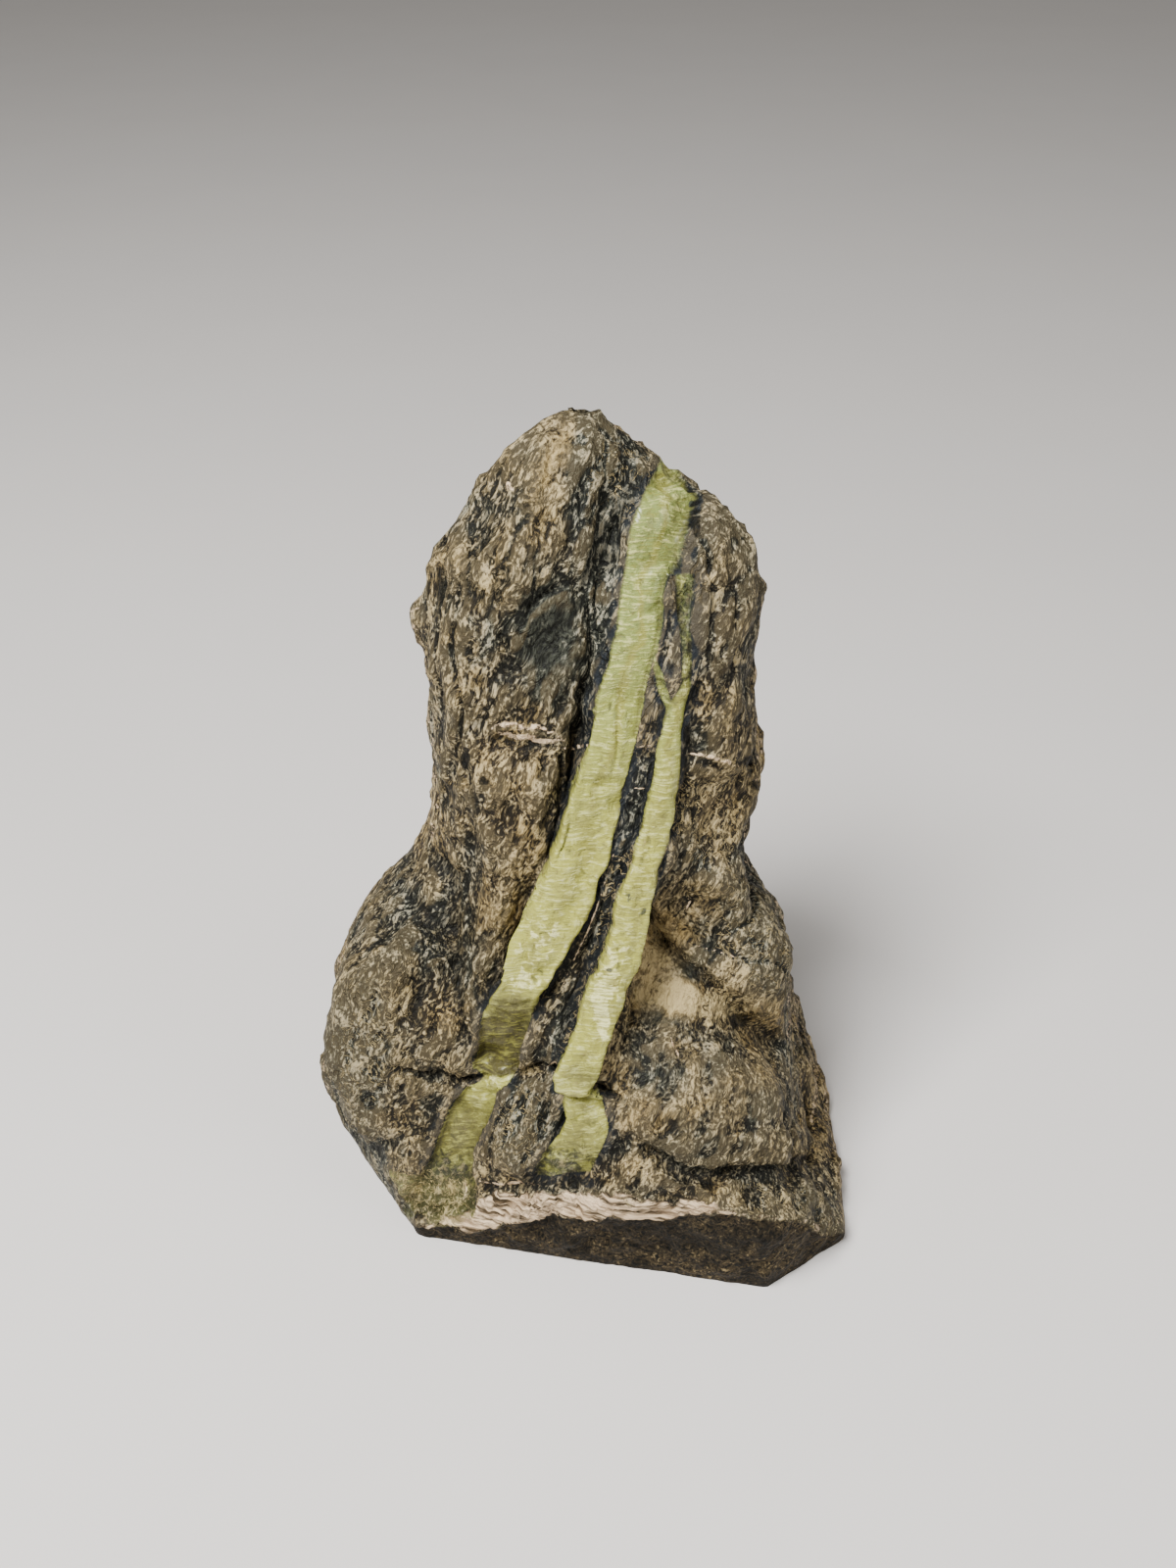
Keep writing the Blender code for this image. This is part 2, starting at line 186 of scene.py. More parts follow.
# Fine ones, which only the skin shows. A negative depth is a raised lip.
CRACKS = (
    (0.7, 4, ((596, 590), (601, 640), (598, 700), (588, 742))),
    (1.3, 4, ((572, 752), (571, 800), (566, 852), (556, 886), (538, 930), (520, 966), (506, 1000))),
    (0.8, 3, ((584, 760), (583, 810), (577, 846), (570, 872))),
    (0.9, 4, ((446, 520), (452, 570), (450, 640), (453, 720))),
    (0.7, 4, ((476, 560), (470, 640), (476, 720), (470, 800))),
    (0.6, 3, ((496, 470), (490, 520), (484, 580), (486, 640))),
    (0.6, 3, ((515, 560), (510, 640), (512, 700))),
    (0.7, 3, ((548, 560), (545, 600), (534, 640))),
    (0.6, 3, ((620, 430), (616, 470), (622, 520))),
    (0.4, 3, ((534, 640), (540, 616), (556, 606), (586, 596))),
    (-0.8, 5, ((498, 742), (516, 744), (544, 748), (574, 755))),
    (0.3, 5, ((506, 752), (534, 758), (572, 764))),
    (0.9, 3, ((604, 880), (612, 920), (596, 990), (560, 1060))),
    (0.7, 3, ((694, 800), (712, 830), (704, 880))),
    (0.6, 3, ((742, 810), (734, 850), (744, 890))),
    (-0.6, 4, ((576, 764), (590, 762), (602, 758))),
    (-0.6, 4, ((646, 758), (660, 762), (676, 762))),
    (-0.6, 5, ((694, 766), (720, 772), (750, 782), (782, 798))),
    (1.0, 4, ((700, 778), (728, 784), (760, 800))),
    (0.6, 3, ((560, 860), (580, 860), (604, 863), (632, 868))),
    (0.7, 3, ((564, 850), (574, 862), (571, 880))),
    (0.4, 3, ((580, 792), (606, 794), (640, 797))),
    (1.8, 5, ((406, 1080), (430, 1092), (462, 1110), (492, 1104), (522, 1100), (548, 1092), (580, 1098))),
    (2.4, 6, ((566, 1106), (582, 1113), (598, 1117), (612, 1112), (624, 1118), (640, 1130))),
    (1.0, 3, ((566, 1132), (582, 1138), (600, 1134), (624, 1130))),
    (0.8, 4, ((520, 1112), (512, 1140), (504, 1170), (500, 1210))),
    (0.8, 4, ((566, 1110), (556, 1140), (560, 1170))),
    (0.8, 4, ((656, 1160), (672, 1174), (706, 1194), (770, 1192), (820, 1184), (862, 1150))),
    (0.9, 4, ((664, 930), (690, 960), (730, 998), (790, 1058), (836, 1088))),
    (0.9, 4, ((700, 950), (740, 972), (770, 980), (800, 1020))),
    (0.8, 4, ((690, 880), (676, 930), (664, 990), (644, 1060), (624, 1110))),
    (0.9, 4, ((800, 1010), (812, 1060), (822, 1110), (838, 1160))),
    (0.6, 3, ((440, 985), (452, 1020), (470, 1060))),
    (0.7, 3, ((380, 900), (390, 960), (382, 1020))),
    (0.6, 3, ((402, 1120), (430, 1150), (450, 1156))),
    (0.9, 3, ((432, 1150), (440, 1160), (452, 1172))),
    (0.8, 4, ((700, 520), (716, 560), (722, 640), (716, 690))),
    (0.6, 3, ((730, 560), (742, 620), (740, 690))),
    (0.5, 3, ((560, 470), (556, 520), (560, 570))),
    (0.6, 3, ((660, 800), (664, 840), (656, 900))),
    (1.0, 4, ((632, 700), (628, 760), (622, 800))),
    (0.8, 3, ((640, 905), (652, 915), (664, 908))),
    (1.0, 4, ((496, 1012), (510, 1017), (532, 1022), (550, 1017), (562, 1008))),
)

# Ledges of the front: drop in millimetres, reach of the drop in pixels, and the line, which is walked
# so that the lower ground lies on its right hand.
LEDGES = (
    (3.0, 44, ((640, 1150), (668, 1172), (706, 1192), (770, 1190), (820, 1182), (868, 1150))),
    (3.4, 60, ((650, 910), (676, 940), (730, 998), (790, 1054), (860, 1100))),
    (1.6, 40, ((590, 1106), (548, 1104), (520, 1112))),
)
SMALL_LEDGES = (
    (0.8, 26, ((598, 1004), (606, 1024), (614, 1044), (626, 1070))),
    (0.8, 20, ((512, 1000), (500, 1012), (494, 1040))),
    (0.5, 30, ((600, 600), (556, 608), (536, 622), (530, 652))),
    (0.7, 24, ((700, 520), (694, 580), (690, 620))),
    (0.9, 24, ((480, 1120), (462, 1118), (440, 1100))),
)

# The two veins: row, left edge, right edge and level above the ground in millimetres.
MAIN_VEIN = (
    (474, 674, 684, -0.6),
    (488, 667, 702, -0.7),
    (503, 660, 713, -0.8),
    (518, 653, 708, -0.9),
    (536, 647, 704, -1.0),
    (557, 643, 699, -1.0),
    (578, 641, 694, -1.0),
    (592, 638, 681, -1.0),
    (614, 634, 677, -1.0),
    (643, 629, 676, -0.9),
    (664, 623, 671, -0.8),
    (686, 618, 663, -0.6),
    (721, 607, 657, -0.4),
    (743, 604, 652, -0.1),
    (764, 599, 647, 0.2),
    (786, 589, 641, 0.5),
    (807, 582, 634, 0.8),
    (829, 575, 631, 1.0),
    (854, 566, 625, 1.2),
    (879, 559, 621, 1.4),
    (893, 549, 611, 1.6),
    (914, 541, 606, 1.9),
    (936, 531, 597, 2.2),
    (957, 525, 586, 2.6),
    (979, 518, 575, 3.2),
    (1000, 513, 562, 3.6),
    (1006, 511, 556, 3.4),
    (1010, 508, 553, 2.6),
    (1026, 497, 548, 1.0),
    (1040, 490, 542, -0.8),
    (1062, 484, 534, -2.0),
    (1080, 480, 529, -2.8),
    (1094, 479, 525, -3.6),
    (1098, 484, 521, -1.4),
    (1110, 486, 516, -1.5),
    (1116, 470, 506, -1.8),
    (1136, 457, 500, -1.5),
    (1157, 449, 491, -1.2),
    (1179, 441, 482, -1.2),
    (1193, 432, 479, -1.2),
    (1215, 420, 482, -1.1),
    (1243, 408, 480, -1.0),
)
RIGHT_VEIN = (
    (586, 691, 704, -0.6),
    (614, 692, 705, -0.6),
    (643, 694, 704, -0.6),
    (671, 695, 704, -0.6),
    (700, 692, 705, -0.4),
    (721, 680, 700, -0.2),
    (743, 675, 695, 0.0),
    (764, 668, 693, 0.3),
    (786, 666, 693, 0.6),
    (807, 662, 691, 1.0),
    (829, 657, 688, 1.4),
    (850, 650, 681, 1.6),
    (871, 644, 672, 1.9),
    (889, 638, 667, 2.1),
    (914, 627, 663, 2.4),
    (936, 624, 659, 2.8),
    (957, 616, 656, 3.2),
    (979, 607, 647, 3.4),
    (1000, 597, 638, 3.6),
    (1021, 591, 631, 3.8),
    (1043, 586, 624, 4.0),
    (1064, 579, 618, 3.8),
    (1086, 571, 612, 3.6),
    (1108, 571, 604, 3.0),
    (1116, 575, 615, -0.4),
    (1129, 575, 616, -0.1),
    (1143, 577, 620, 0.0),
    (1157, 570, 620, 0.0),
    (1171, 557, 615, 0.0),
    (1186, 549, 606, -0.2),
    (1200, 548, 600, -0.4),
)
# Strands of vein: half width in pixels, and the line that each follows.
STRANDS = (
    (3.2, ((668, 672), (672, 690), (678, 712), (686, 732))),
    (5.0, ((820, 1080), (830, 1104), (828, 1134), (822, 1160))),
    (16.0, ((392, 1196), (424, 1216), (456, 1232), (480, 1236))),
)
# Where a vein is faint, so that the rock shows through it: x, y, how faint, half width, half height and turn.
FAINT = (
    (698, 636, 1.0, 22, 86, 0),
    (674, 700, 0.5, 14, 46, -15),
    (828, 1120, 1.2, 40, 70, -8),
    (440, 1226, 1.5, 76, 58, 10),
    (560, 1190, 0.9, 34, 26, 0),
    (600, 1190, 0.5, 40, 22, 0),
)
# Where a vein is dull olive: x, y, strength, half width, half height and turn.
OLIVE = (
    (526, 1034, 0.8, 40, 24, 14),
    (509, 1068, 2.4, 44, 30, 14),
    (470, 1160, 0.7, 46, 60, 10),
    (590, 1165, 0.5, 46, 50, 0),
    (598, 1098, 0.6, 24, 18, 0),
    (692, 540, 0.4, 20, 50, 0),
)
# Painted highlights where a vein broke clean: pale patches standing in for the shine of the breaks: x, y,
# strength, half width, half height and turn.
PAINTED_HIGHLIGHTS = (
    (613, 1034, 1.1, 9, 30, -10),
    (619, 1006, 0.8, 17, 20, 10),
    (628, 978, 0.4, 16, 24, 10),
    (538, 1002, 0.7, 24, 9, 0),
    (505, 1101, 0.5, 14, 8, 0),
    (548, 965, 0.35, 22, 36, 20),
)
# Pixels that the strands are narrowed by where the drawing can't be seen, and the same for the veins: on the
# whole, and by noise.
HIDDEN_STRAND = 40.0
HIDDEN_VEIN = (5.0, 18.0)
# Shares: of a strand's half width that is left at its ends, and of the front's small forms that show on a vein.
STRAND_END = 0.3
VEIN_DETAIL = 0.6
VEIN_EDGE = 4.0
VEIN_END_SLANT = 0.35
VEIN_CROWN = 0.5
LEDGE_EDGE = 3.0
# The drawing's lines wander by this many pixels, in waves of this many millimetres, and the veins by less.
WANDER = 7.0
VEIN_WANDER = 1.5
WANDER_SIZE = 9.0

# The calcite seam that edges the lower fracture: x, its upper edge and its lower edge on the drawing.
SEAM = (
    (420, 1247, 1249),
    (456, 1243, 1249),
    (478, 1238, 1253),
    (488, 1220, 1253),
    (500, 1214, 1248),
    (520, 1213, 1242),
    (560, 1216, 1240),
    (600, 1217, 1239),
    (650, 1218, 1239),
    (690, 1222, 1238),
    (730, 1230, 1239),
    (770, 1239, 1243),
    (830, 1251, 1254),
    (880, 1262, 1263),
)
SEAM_RISE = 1.3
SEAM_EDGE = 5.0
SEAM_RAGGED = 6.0
FLAKE_THICKNESS = 4.5

# Weathering of the front, with some painted light: x, y, how tan (+) or dark (-), half width, half height and
# turn in degrees.
WEATHERING_AND_PAINTED_LIGHT = (
    (562, 485, 1.25, 28, 84, 10),
    (556, 600, -0.4, 40, 50, 0),
    (436, 610, 1.0, 22, 80, 15),
    (455, 505, 0.8, 20, 26, 0),
    (515, 805, 1.0, 66, 74, 0),
    (446, 1050, 0.4, 26, 90, 10),
    (402, 1128, 0.9, 26, 40, 10),
    (375, 930, 0.5, 30, 50, 30),
    (680, 1014, 1.4, 38, 27, 0),
    (712, 1026, 1.3, 48, 26, 20),
    (674, 984, 0.7, 26, 24, 0),
    (740, 735, 1.1, 34, 38, 0),
    (598, 480, -1.3, 22, 80, 6),
    (720, 1090, 0.75, 120, 100, 0),
    # Painted light: this and the next lift the shade of the hollow beside the right vein.
    (680, 950, 1.1, 40, 44, 20),
    (644, 1020, 1.0, 20, 110, 22),
    # Painted light: lifts the shade of the cleft under the boulder.
    (760, 1020, 0.9, 60, 30, 40),
    (735, 825, 1.1, 46, 60, 0),
    (740, 600, 0.4, 26, 90, 0),
    (640, 1196, 0.8, 60, 20, 0),
    (720, 1215, 0.9, 60, 20, 10),
    (540, 1092, 1.6, 20, 12, 0),
    (370, 1205, 0.9, 40, 26, -20),
    (440, 1225, 0.8, 60, 30, 0),
    (500, 1190, 0.5, 30, 40, 0),
    (615, 600, -1.4, 30, 170, 6),
    (622, 460, -1.3, 46, 70, 20),
    (560, 655, -1.7, 38, 70, 0),
    (520, 930, 1.1, 50, 100, 20),
    (490, 1000, -0.5, 30, 60, 10),
    (620, 935, -1.4, 22, 70, 15),
    (582, 1062, -1.4, 28, 66, 10),
    (528, 1155, -0.9, 32, 50, 10),
    (640, 840, -1.2, 20, 90, 10),
    (715, 600, -0.5, 20, 100, 0),
    (735, 850, -0.4, 50, 60, 10),
    (790, 950, -1.5, 54, 90, -20),
    (365, 1070, -0.9, 46, 80, 0),
    (700, 1170, -0.6, 60, 24, 0),
    (672, 1100, -1.2, 34, 30, 20),
    (740, 1080, -0.9, 30, 26, 0),
    (776, 1130, -0.8, 26, 30, 20),
    (820, 1110, -0.9, 30, 60, -10),
    (840, 1240, -0.6, 50, 30, 20),
)
# Small dark spots: x, y, strength, half width, half height and turn in degrees.
SPOTS = (
    (641, 914, 1.3, 6, 2, 60),
    (656, 930, 1.2, 3, 5, 20),
    (631, 986, 1.3, 2, 6, 10),
    (622, 989, 1.1, 5, 2, 10),
    (752, 1041, 1.5, 12, 6, 30),
    (475, 774, 1.7, 6, 8, 10),
    (494, 797, 1.5, 7, 4, 30),
    (537, 517, 1.0, 7, 5, 0),
    (764, 776, 1.8, 7, 6, 0),
    (772, 800, 1.8, 9, 6, 20),
    (700, 750, 1.4, 4, 12, 0),
    (709, 528, 1.6, 5, 24, -8),
    (631, 1197, 1.1, 3, 8, 10),
    (651, 1202, 1.2, 3, 11, 0),
    (669, 1194, 1.0, 2, 8, -10),
    (722, 1208, 1.3, 9, 6, 0),
    (420, 1238, 1.5, 16, 5, 20),
    (448, 596, 1.2, 4, 22, 0),
    (566, 640, 0.8, 14, 4, -40),
)
# Where fine pale threads run over the rock: x, y, strength, half width, half height and turn in degrees.
THREADS = (
    (728, 830, 1.0, 50, 70, 20),
    (624, 930, 0.9, 20, 80, 15),
    (596, 1050, 0.8, 24, 60, 20),
    (770, 960, 0.8, 60, 90, -20),
    (530, 1150, 0.8, 36, 60, 10),
    (640, 480, 0.6, 50, 60, 20),
    (375, 1060, 0.7, 60, 100, 0),
    (440, 1222, 1.1, 64, 36, 10),
    (800, 1230, 0.8, 70, 30, 10),
)

# Lines of white calcite, their half width in pixels.
WHITE_LINES = (
    (3.0, ((502, 743), (516, 739), (530, 741), (552, 742), (574, 752))),
    (3.4, ((504, 746), (522, 751), (538, 752), (556, 757), (576, 756))),
    (2.6, ((576, 764), (590, 762), (602, 760))),
    (2.6, ((648, 760), (660, 762), (674, 762))),
    (2.6, ((690, 768), (720, 772), (744, 778), (758, 784))),
    (2.0, ((764, 792), (776, 797), (786, 801))),
    (1.4, ((630, 803), (648, 804), (668, 806))),
    (2.0, ((826, 1080), (834, 1104), (828, 1140), (834, 1160))),
    (1.4, ((690, 960), (740, 972), (770, 985))),
    (3.6, ((515, 486), (520, 496), (525, 505))),
    (1.6, ((700, 900), (704, 920), (698, 936))),
    (1.2, ((556, 1090), (566, 1084), (576, 1092))),
    (1.6, ((548, 1096), (572, 1094), (596, 1110))),
    (1.2, ((628, 868), (600, 950), (572, 1010))),
    (2.0, ((684, 1058), (690, 1072), (698, 1088))),
    (1.5, ((636, 1184), (641, 1197), (638, 1210))),
    (1.2, ((660, 1180), (659, 1196), (663, 1206))),
    (1.6, ((486, 1206), (512, 1209), (530, 1206), (552, 1210))),
    (1.2, ((470, 1196), (476, 1214), (470, 1232))),
    (1.6, ((800, 1246), (824, 1252), (858, 1247))),
)

# Grain of the skin: size and rise in millimetres of each octave. A positive rise gives sharp crests and a
# negative one sharp creases, where the noise is zero.
GRAIN = ((21.0, 2.0), (9.0, -1.5), (4.6, -0.9))
CREST_LEVEL = 0.22
# The rock splits along this direction, which the veins and the streaks follow, drawn out by this much.
FOLIATION = (0.36, 0.24, 1.0)
STREAK_STRETCH = 2.6
GRAIN_SEED = 11
# Chips are flat flakes: size, and the most that a flake's plane is tipped, of each layer.
CHIPS = ((8.0, 0.10), (3.6, 0.15), (1.6, 0.17))
CHIP_SHARPNESS = 14.0
CHIP_STRETCH = 1.7
# Crumbs: size and rise in millimetres of the finest noise that the mesh carries.
CRUMBS = ((3.0, -0.60), (1.5, -0.34))
CRUMB_STRETCH = 3.0
# Places of the front that broke smoothly: x, y, share, half width, half height and turn in degrees.
SMOOTH_PLACES = (
    (560, 655, 1.0, 40, 70, 0),
    (564, 470, 0.6, 22, 70, 8),
    (520, 950, 0.5, 60, 120, 20),
    (700, 1090, 0.55, 110, 90, 0),
    (682, 1010, 1.0, 40, 40, 0),
    (680, 960, 0.6, 50, 80, 20),
)
# Shares of the skin's roughness: what smooth places lose, and what is left at the very foot.
SMOOTHED = 0.75
FOOT_ROUGHNESS = 0.25

# Single noises of the mesh: size in millimetres, how far each is shifted in its own sizes, and its seed.
NOISES = {
    "wander x": (WANDER_SIZE, 10.0, GRAIN_SEED),
    "wander y": (WANDER_SIZE, 90.0, GRAIN_SEED),
    "seam edge": (3.0, 20.0, GRAIN_SEED + 5),
    "hidden vein": (12.0, 15.0, GRAIN_SEED + 7),
    "vein swells": (7.0, 70.0, GRAIN_SEED + 40),
    "vein dents": (3.2, 75.0, GRAIN_SEED + 41),
    "vein creases": (4.0, 78.0, GRAIN_SEED + 43),
    "foot": (9.0, 0.0, GRAIN_SEED + 50),
    "fine foot": (4.0, 0.0, GRAIN_SEED + 51),
}
# The veins' ribs: their step along the vein and their length across it, in millimetres.
RIB_STEP = 1.2
RIB_LENGTH = 9.0

# Cosines of the angle between a face and the line to the eye, over which the drawing fades in.
FACING = (0.05, 0.45)
HIDDEN_WEATHERING = 0.35

COLUMNS = 392
ROWS = 244
UNDERSIDE_RINGS = 8
UNDERSIDE_DISH = 0.5
# How far the veins' and the lines' fields fall from the rim of the underside to its middle.
UNDERSIDE_FALL = 30.0
FRONT_SHARE = 0.62
UNDERSIDE_FADE = 5.0
# Heights in millimetres at shares of the rows: they lie closer together low down.
ROW_SHARES = (0.0, 0.12, 0.5, 0.985, 1.0)
ROW_HEIGHTS = (0.0, 12.0, 60.0, 132.6, 133.8)

GRADIENTS = np.array(
    [g for g in itertools.product((-1.0, 0.0, 1.0), repeat=3) if sum(map(abs, g)) == 2.0]
)


def smooth_step(low, high, value):
    """0 below low, 1 above high, and an S-curve between them."""
    share = np.clip((value - low) / (high - low), 0.0, 1.0)
    return share * share * (3.0 - 2.0 * share)


def shuffled(seed):
    return np.random.default_rng(seed).permutation(256)


def gradient_noise(points, seed):
    """Perlin noise: a fixed slope at each corner of a point's unit cell, blended by its place in the cell."""
    table = shuffled(seed)
    cell = np.floor(points).astype(int)
    place = points - cell
    ease = place**3 * (place * (place * 6.0 - 15.0) + 10.0)
    total = np.zeros(points.shape[:-1])
    for corner in itertools.product((0, 1), repeat=3):
        at = (cell + corner) & 255
        code = table[(table[(table[at[..., 0]] + at[..., 1]) & 255] + at[..., 2]) & 255]
        slope = (GRADIENTS[code % len(GRADIENTS)] * (place - corner)).sum(-1)
        total += slope * np.where(corner, ease, 1.0 - ease).prod(-1)
    return total


def named_noise(points, name):
    """Perlin noise of one of the named sizes, shifts and seeds."""
    size, shift, seed = NOISES[name]
    return gradient_noise(points / size + shift, seed)


def chipped(points, seed):
    """Flat flakes: each unit cell has one flake, a tipped plane about a scattered centre.

    A point's height is the mean of the planes of the 27 cells round it, each weighted by
    exp(-CHIP_SHARPNESS * squared distance to its centre), so the nearest flake shows and edges are crisp."""
    table = shuffled(seed)
    scatter = np.random.default_rng(seed).random((256, 6))
    cell = np.floor(points).astype(int)
    total = np.zeros(points.shape[:-1])
    weights = np.full(points.shape[:-1], 1e-12)
    for corner in itertools.product((-1, 0, 1), repeat=3):
        at = (cell + corner) & 255
        code = table[(table[(table[at[..., 0]] + at[..., 1]) & 255] + at[..., 2]) & 255]
        away = points - (cell + corner + scatter[code, :3])
        weight = np.exp(-CHIP_SHARPNESS * (away**2).sum(-1))
        total += weight * (away * (scatter[code, 3:] * 2.0 - 1.0)).sum(-1)
        weights += weight
    return total / weights


def azimuths(count):
    """Angles round the stone from the back, closer together over the front."""
    turn = np.arange(count) / count
    squeeze = FRONT_SHARE - 0.5
    return math.tau * (turn + squeeze * np.sin(math.tau * turn) / math.pi) + math.pi / 2


def lofted(heights, angles):
    """Points of the loft: at each height a squarish oval through the section's left, right, front, back."""
    table = np.array(SECTIONS)
    left, right, front, back, square = (np.interp(heights, table[:, 0], column) for column in table[:, 1:].T)
    middle = np.stack([(left + right) / 2, (front + back) / 2, heights], -1)[:, None, :]
    across, deep = np.cos(angles), np.sin(angles)
    half_width = ((right - left) / 2)[:, None]
    half_depth = ((back - front) / 2)[:, None]
    power = square[:, None]
    reach = ((np.abs(across) / half_width) ** power + (np.abs(deep) / half_depth) ** power) ** (-1.0 / power)
    for direction, point in FRACTURES:
        reach = broken(reach, middle, across, deep, np.array(direction), np.array(point))
    outward = np.stack([across, deep, np.zeros_like(across)], -1)
    return middle + reach[..., None] * outward


def broken(reach, middle, across, deep, direction, point):
    """The reach from the axis, cut short where its ray meets a fracture plane, with a rounded edge."""
    gap = ((point - middle) * direction).sum(-1)
    approach = across * direction[0] + deep * direction[1]
    meets = np.where(approach > 0.05, gap / np.maximum(approach, 0.05), 1e3)
    blend = np.clip(0.5 + (meets - reach) / (2 * FRACTURE_ROUNDING), 0.0, 1.0)
    cut = meets + (reach - meets) * blend - FRACTURE_ROUNDING * blend * (1.0 - blend)
    return np.maximum(cut, 1.0)


def outward_normals(grid):
    """Unit normals of the grid, from the steps to the next column and to the next row."""
    along = np.roll(grid, -1, 1) - np.roll(grid, 1, 1)
    up = np.gradient(grid, axis=0)
    normal = np.cross(along, up)
    return normal / np.maximum(np.linalg.norm(normal, axis=-1, keepdims=True), 1e-9)


def drawn(points):
    """Where points fall on the front drawing: x, y in its pixels, by central projection to the eye."""
    away = points - np.array(EYE)
    cos, sin = math.cos(EYE_PITCH), math.sin(EYE_PITCH)
    depth = away[..., 1] * cos - away[..., 2] * sin
    rise = away[..., 1] * sin + away[..., 2] * cos
    x = DRAWING_CENTRE[0] + DRAWING_FOCUS * away[..., 0] / depth
    y = DRAWING_CENTRE[1] - DRAWING_FOCUS * rise / depth
    return x, y


def wandered(points, pixels):
    """Places on the front drawing, each shifted by noise so that straight lines come out irregular."""
    x, y = drawn(points)
    return x + pixels * named_noise(points, "wander x"), y + pixels * named_noise(points, "wander y")


def from_line(x, y, line):
    """Distance to a line of points, the side of it, positive on its right hand as it is walked, and its fade.

    The fade is 1 along the line and falls to 0 over the first and the last leg."""
    best = np.full(x.shape, 1e9)
    side = np.zeros(x.shape)
    fade = np.zeros(x.shape)
    legs = len(line) - 1
    for leg, ((ax, ay), (bx, by)) in enumerate(itertools.pairwise(line)):
        dx, dy = bx - ax, by - ay
        share = np.clip(((x - ax) * dx + (y - ay) * dy) / (dx * dx + dy * dy), 0.0, 1.0)
        away = np.hypot(x - ax - share * dx, y - ay - share * dy)
        nearer = away < best
        side = np.where(nearer, np.sign(dx * (y - ay) - dy * (x - ax)), side)
        fade = np.where(nearer, np.clip(np.minimum(leg + share, legs - leg - share), 0.0, 1.0), fade)
        best = np.where(nearer, away, best)
    return best, side, fade


def mounds(x, y, table, power):
    """Sum of turned ovals: each is its rise times (1 - squared distance in half sizes) to the given power."""
    total = np.zeros(x.shape)
    for centre_x, centre_y, rise, half_width, half_height, turn in table:
        cos, sin = math.cos(math.radians(turn)), math.sin(math.radians(turn))
        dx, dy = x - centre_x, y - centre_y
        out = ((dx * cos + dy * sin) / half_width) ** 2 + ((dy * cos - dx * sin) / half_height) ** 2
        total += rise * np.clip(1.0 - out, 0.0, 1.0) ** power
    return total


def grooves(x, y, table):
    """Sum of V-shaped valleys along their lines, running out at both ends."""
    total = np.zeros(x.shape)
    for depth, half_width, line in table:
        away, _, fade = from_line(x, y, line)
        total -= depth * fade * np.clip(1.0 - away / half_width, 0.0, 1.0) ** 1.4
    return total


def ledges(x, y, table):
    """Sum of drops that start sharply at a line, on its right hand, and ease out over their reach."""
    total = np.zeros(x.shape)
    for drop, reach, line in table:
        away, side, fade = from_line(x, y, line)
        fallen = smooth_step(-LEDGE_EDGE, LEDGE_EDGE, away * side)
        total -= drop * fade * fallen * (1.0 - smooth_step(0.0, reach, away))
    return total


def vein_at(x, y, vein):
    """A place against a vein: pixels inside its edges, its level, and millimetres off its middle.

    The vein's breaks run aslant, and its face is crowned from edge to edge."""
    rows, left, right, level = np.array(vein).T
    left_here, right_here = np.interp(y, rows, left), np.interp(y, rows, right)
    inside = np.minimum(x - left_here, right_here - x)
    inside = np.minimum(inside, np.minimum(y - rows[0], rows[-1] - y))
    middle = (left_here + right_here) / 2
    aslant = y - VEIN_END_SLANT * (x - middle)
    off_middle = (x - middle) / np.maximum((right_here - left_here) / 2, 1.0)
    crowned = np.interp(aslant, rows, level) + VEIN_CROWN * (0.5 - np.clip(off_middle, -1.0, 1.0) ** 2)
    return inside, crowned, (x - middle) / PIXELS_PER_MM


def seam_at(x, y, points):
    """A place against the seam: pixels inside its ragged edges, and pixels below its lower edge."""
    along, upper, lower = np.array(SEAM, dtype=float).T
    top = np.interp(x, along, upper) + SEAM_RAGGED * named_noise(points, "seam edge")
    bottom = np.interp(x, along, lower)
    return np.minimum(y - top, bottom - y), y - bottom


def flaked(y, points):
    """Leaves of the seam: a saw tooth over the rows, bent by noise, so that each leaf overhangs the next."""
    bent = y / FLAKE_THICKNESS + 1.4 * gradient_noise(points / np.array([9.0, 9.0, 5.0]), GRAIN_SEED + 6)
    return bent - np.floor(bent)


def bosses(points):
    """Sum of round swellings and dents placed in space, each fading out at its radius."""
    total = np.zeros(points.shape[:-1])
    for place, rise, radius in BOSSES:
        out = (((points - np.array(place)) / radius) ** 2).sum(-1)
        total += rise * np.clip(1.0 - out, 0.0, 1.0) ** 2
    return total


def split_turn():
    """The turn that stands the foliation upright."""
    return Vector(FOLIATION).rotation_difference(Vector((0.0, 0.0, 1.0)))


def along_split(points, stretch):
    """Points turned so that the foliation stands upright, and squeezed along it."""
    turned = points @ np.array(split_turn().to_matrix()).T
    return turned / np.array([1.0, 1.0, stretch])


def grain(points):
    """Sum of noise octaves with sharp crests or creases, drawn out along the stone's foliation."""
    stretched = along_split(points, STREAK_STRETCH)
    total = np.zeros(points.shape[:-1])
    for octave, (size, rise) in enumerate(GRAIN):
        total += rise * (CREST_LEVEL - np.abs(gradient_noise(stretched / size + 40.0, GRAIN_SEED + octave)))
    return total


def broken_skin(points):
    """The rock's own roughness in millimetres: layers of flat chips, and crumbs with sharp crests."""
    total = np.zeros(points.shape[:-1])
    for layer, (size, tip) in enumerate(CHIPS):
        split = along_split(points, CHIP_STRETCH) / size
        total += size * tip * chipped(split + 30.0, GRAIN_SEED + 20 + layer)
    for octave, (size, rise) in enumerate(CRUMBS):
        split = along_split(points, CRUMB_STRETCH) / size
        total += rise * (CREST_LEVEL - np.abs(gradient_noise(split + 60.0, GRAIN_SEED + 30 + octave)))
    return total


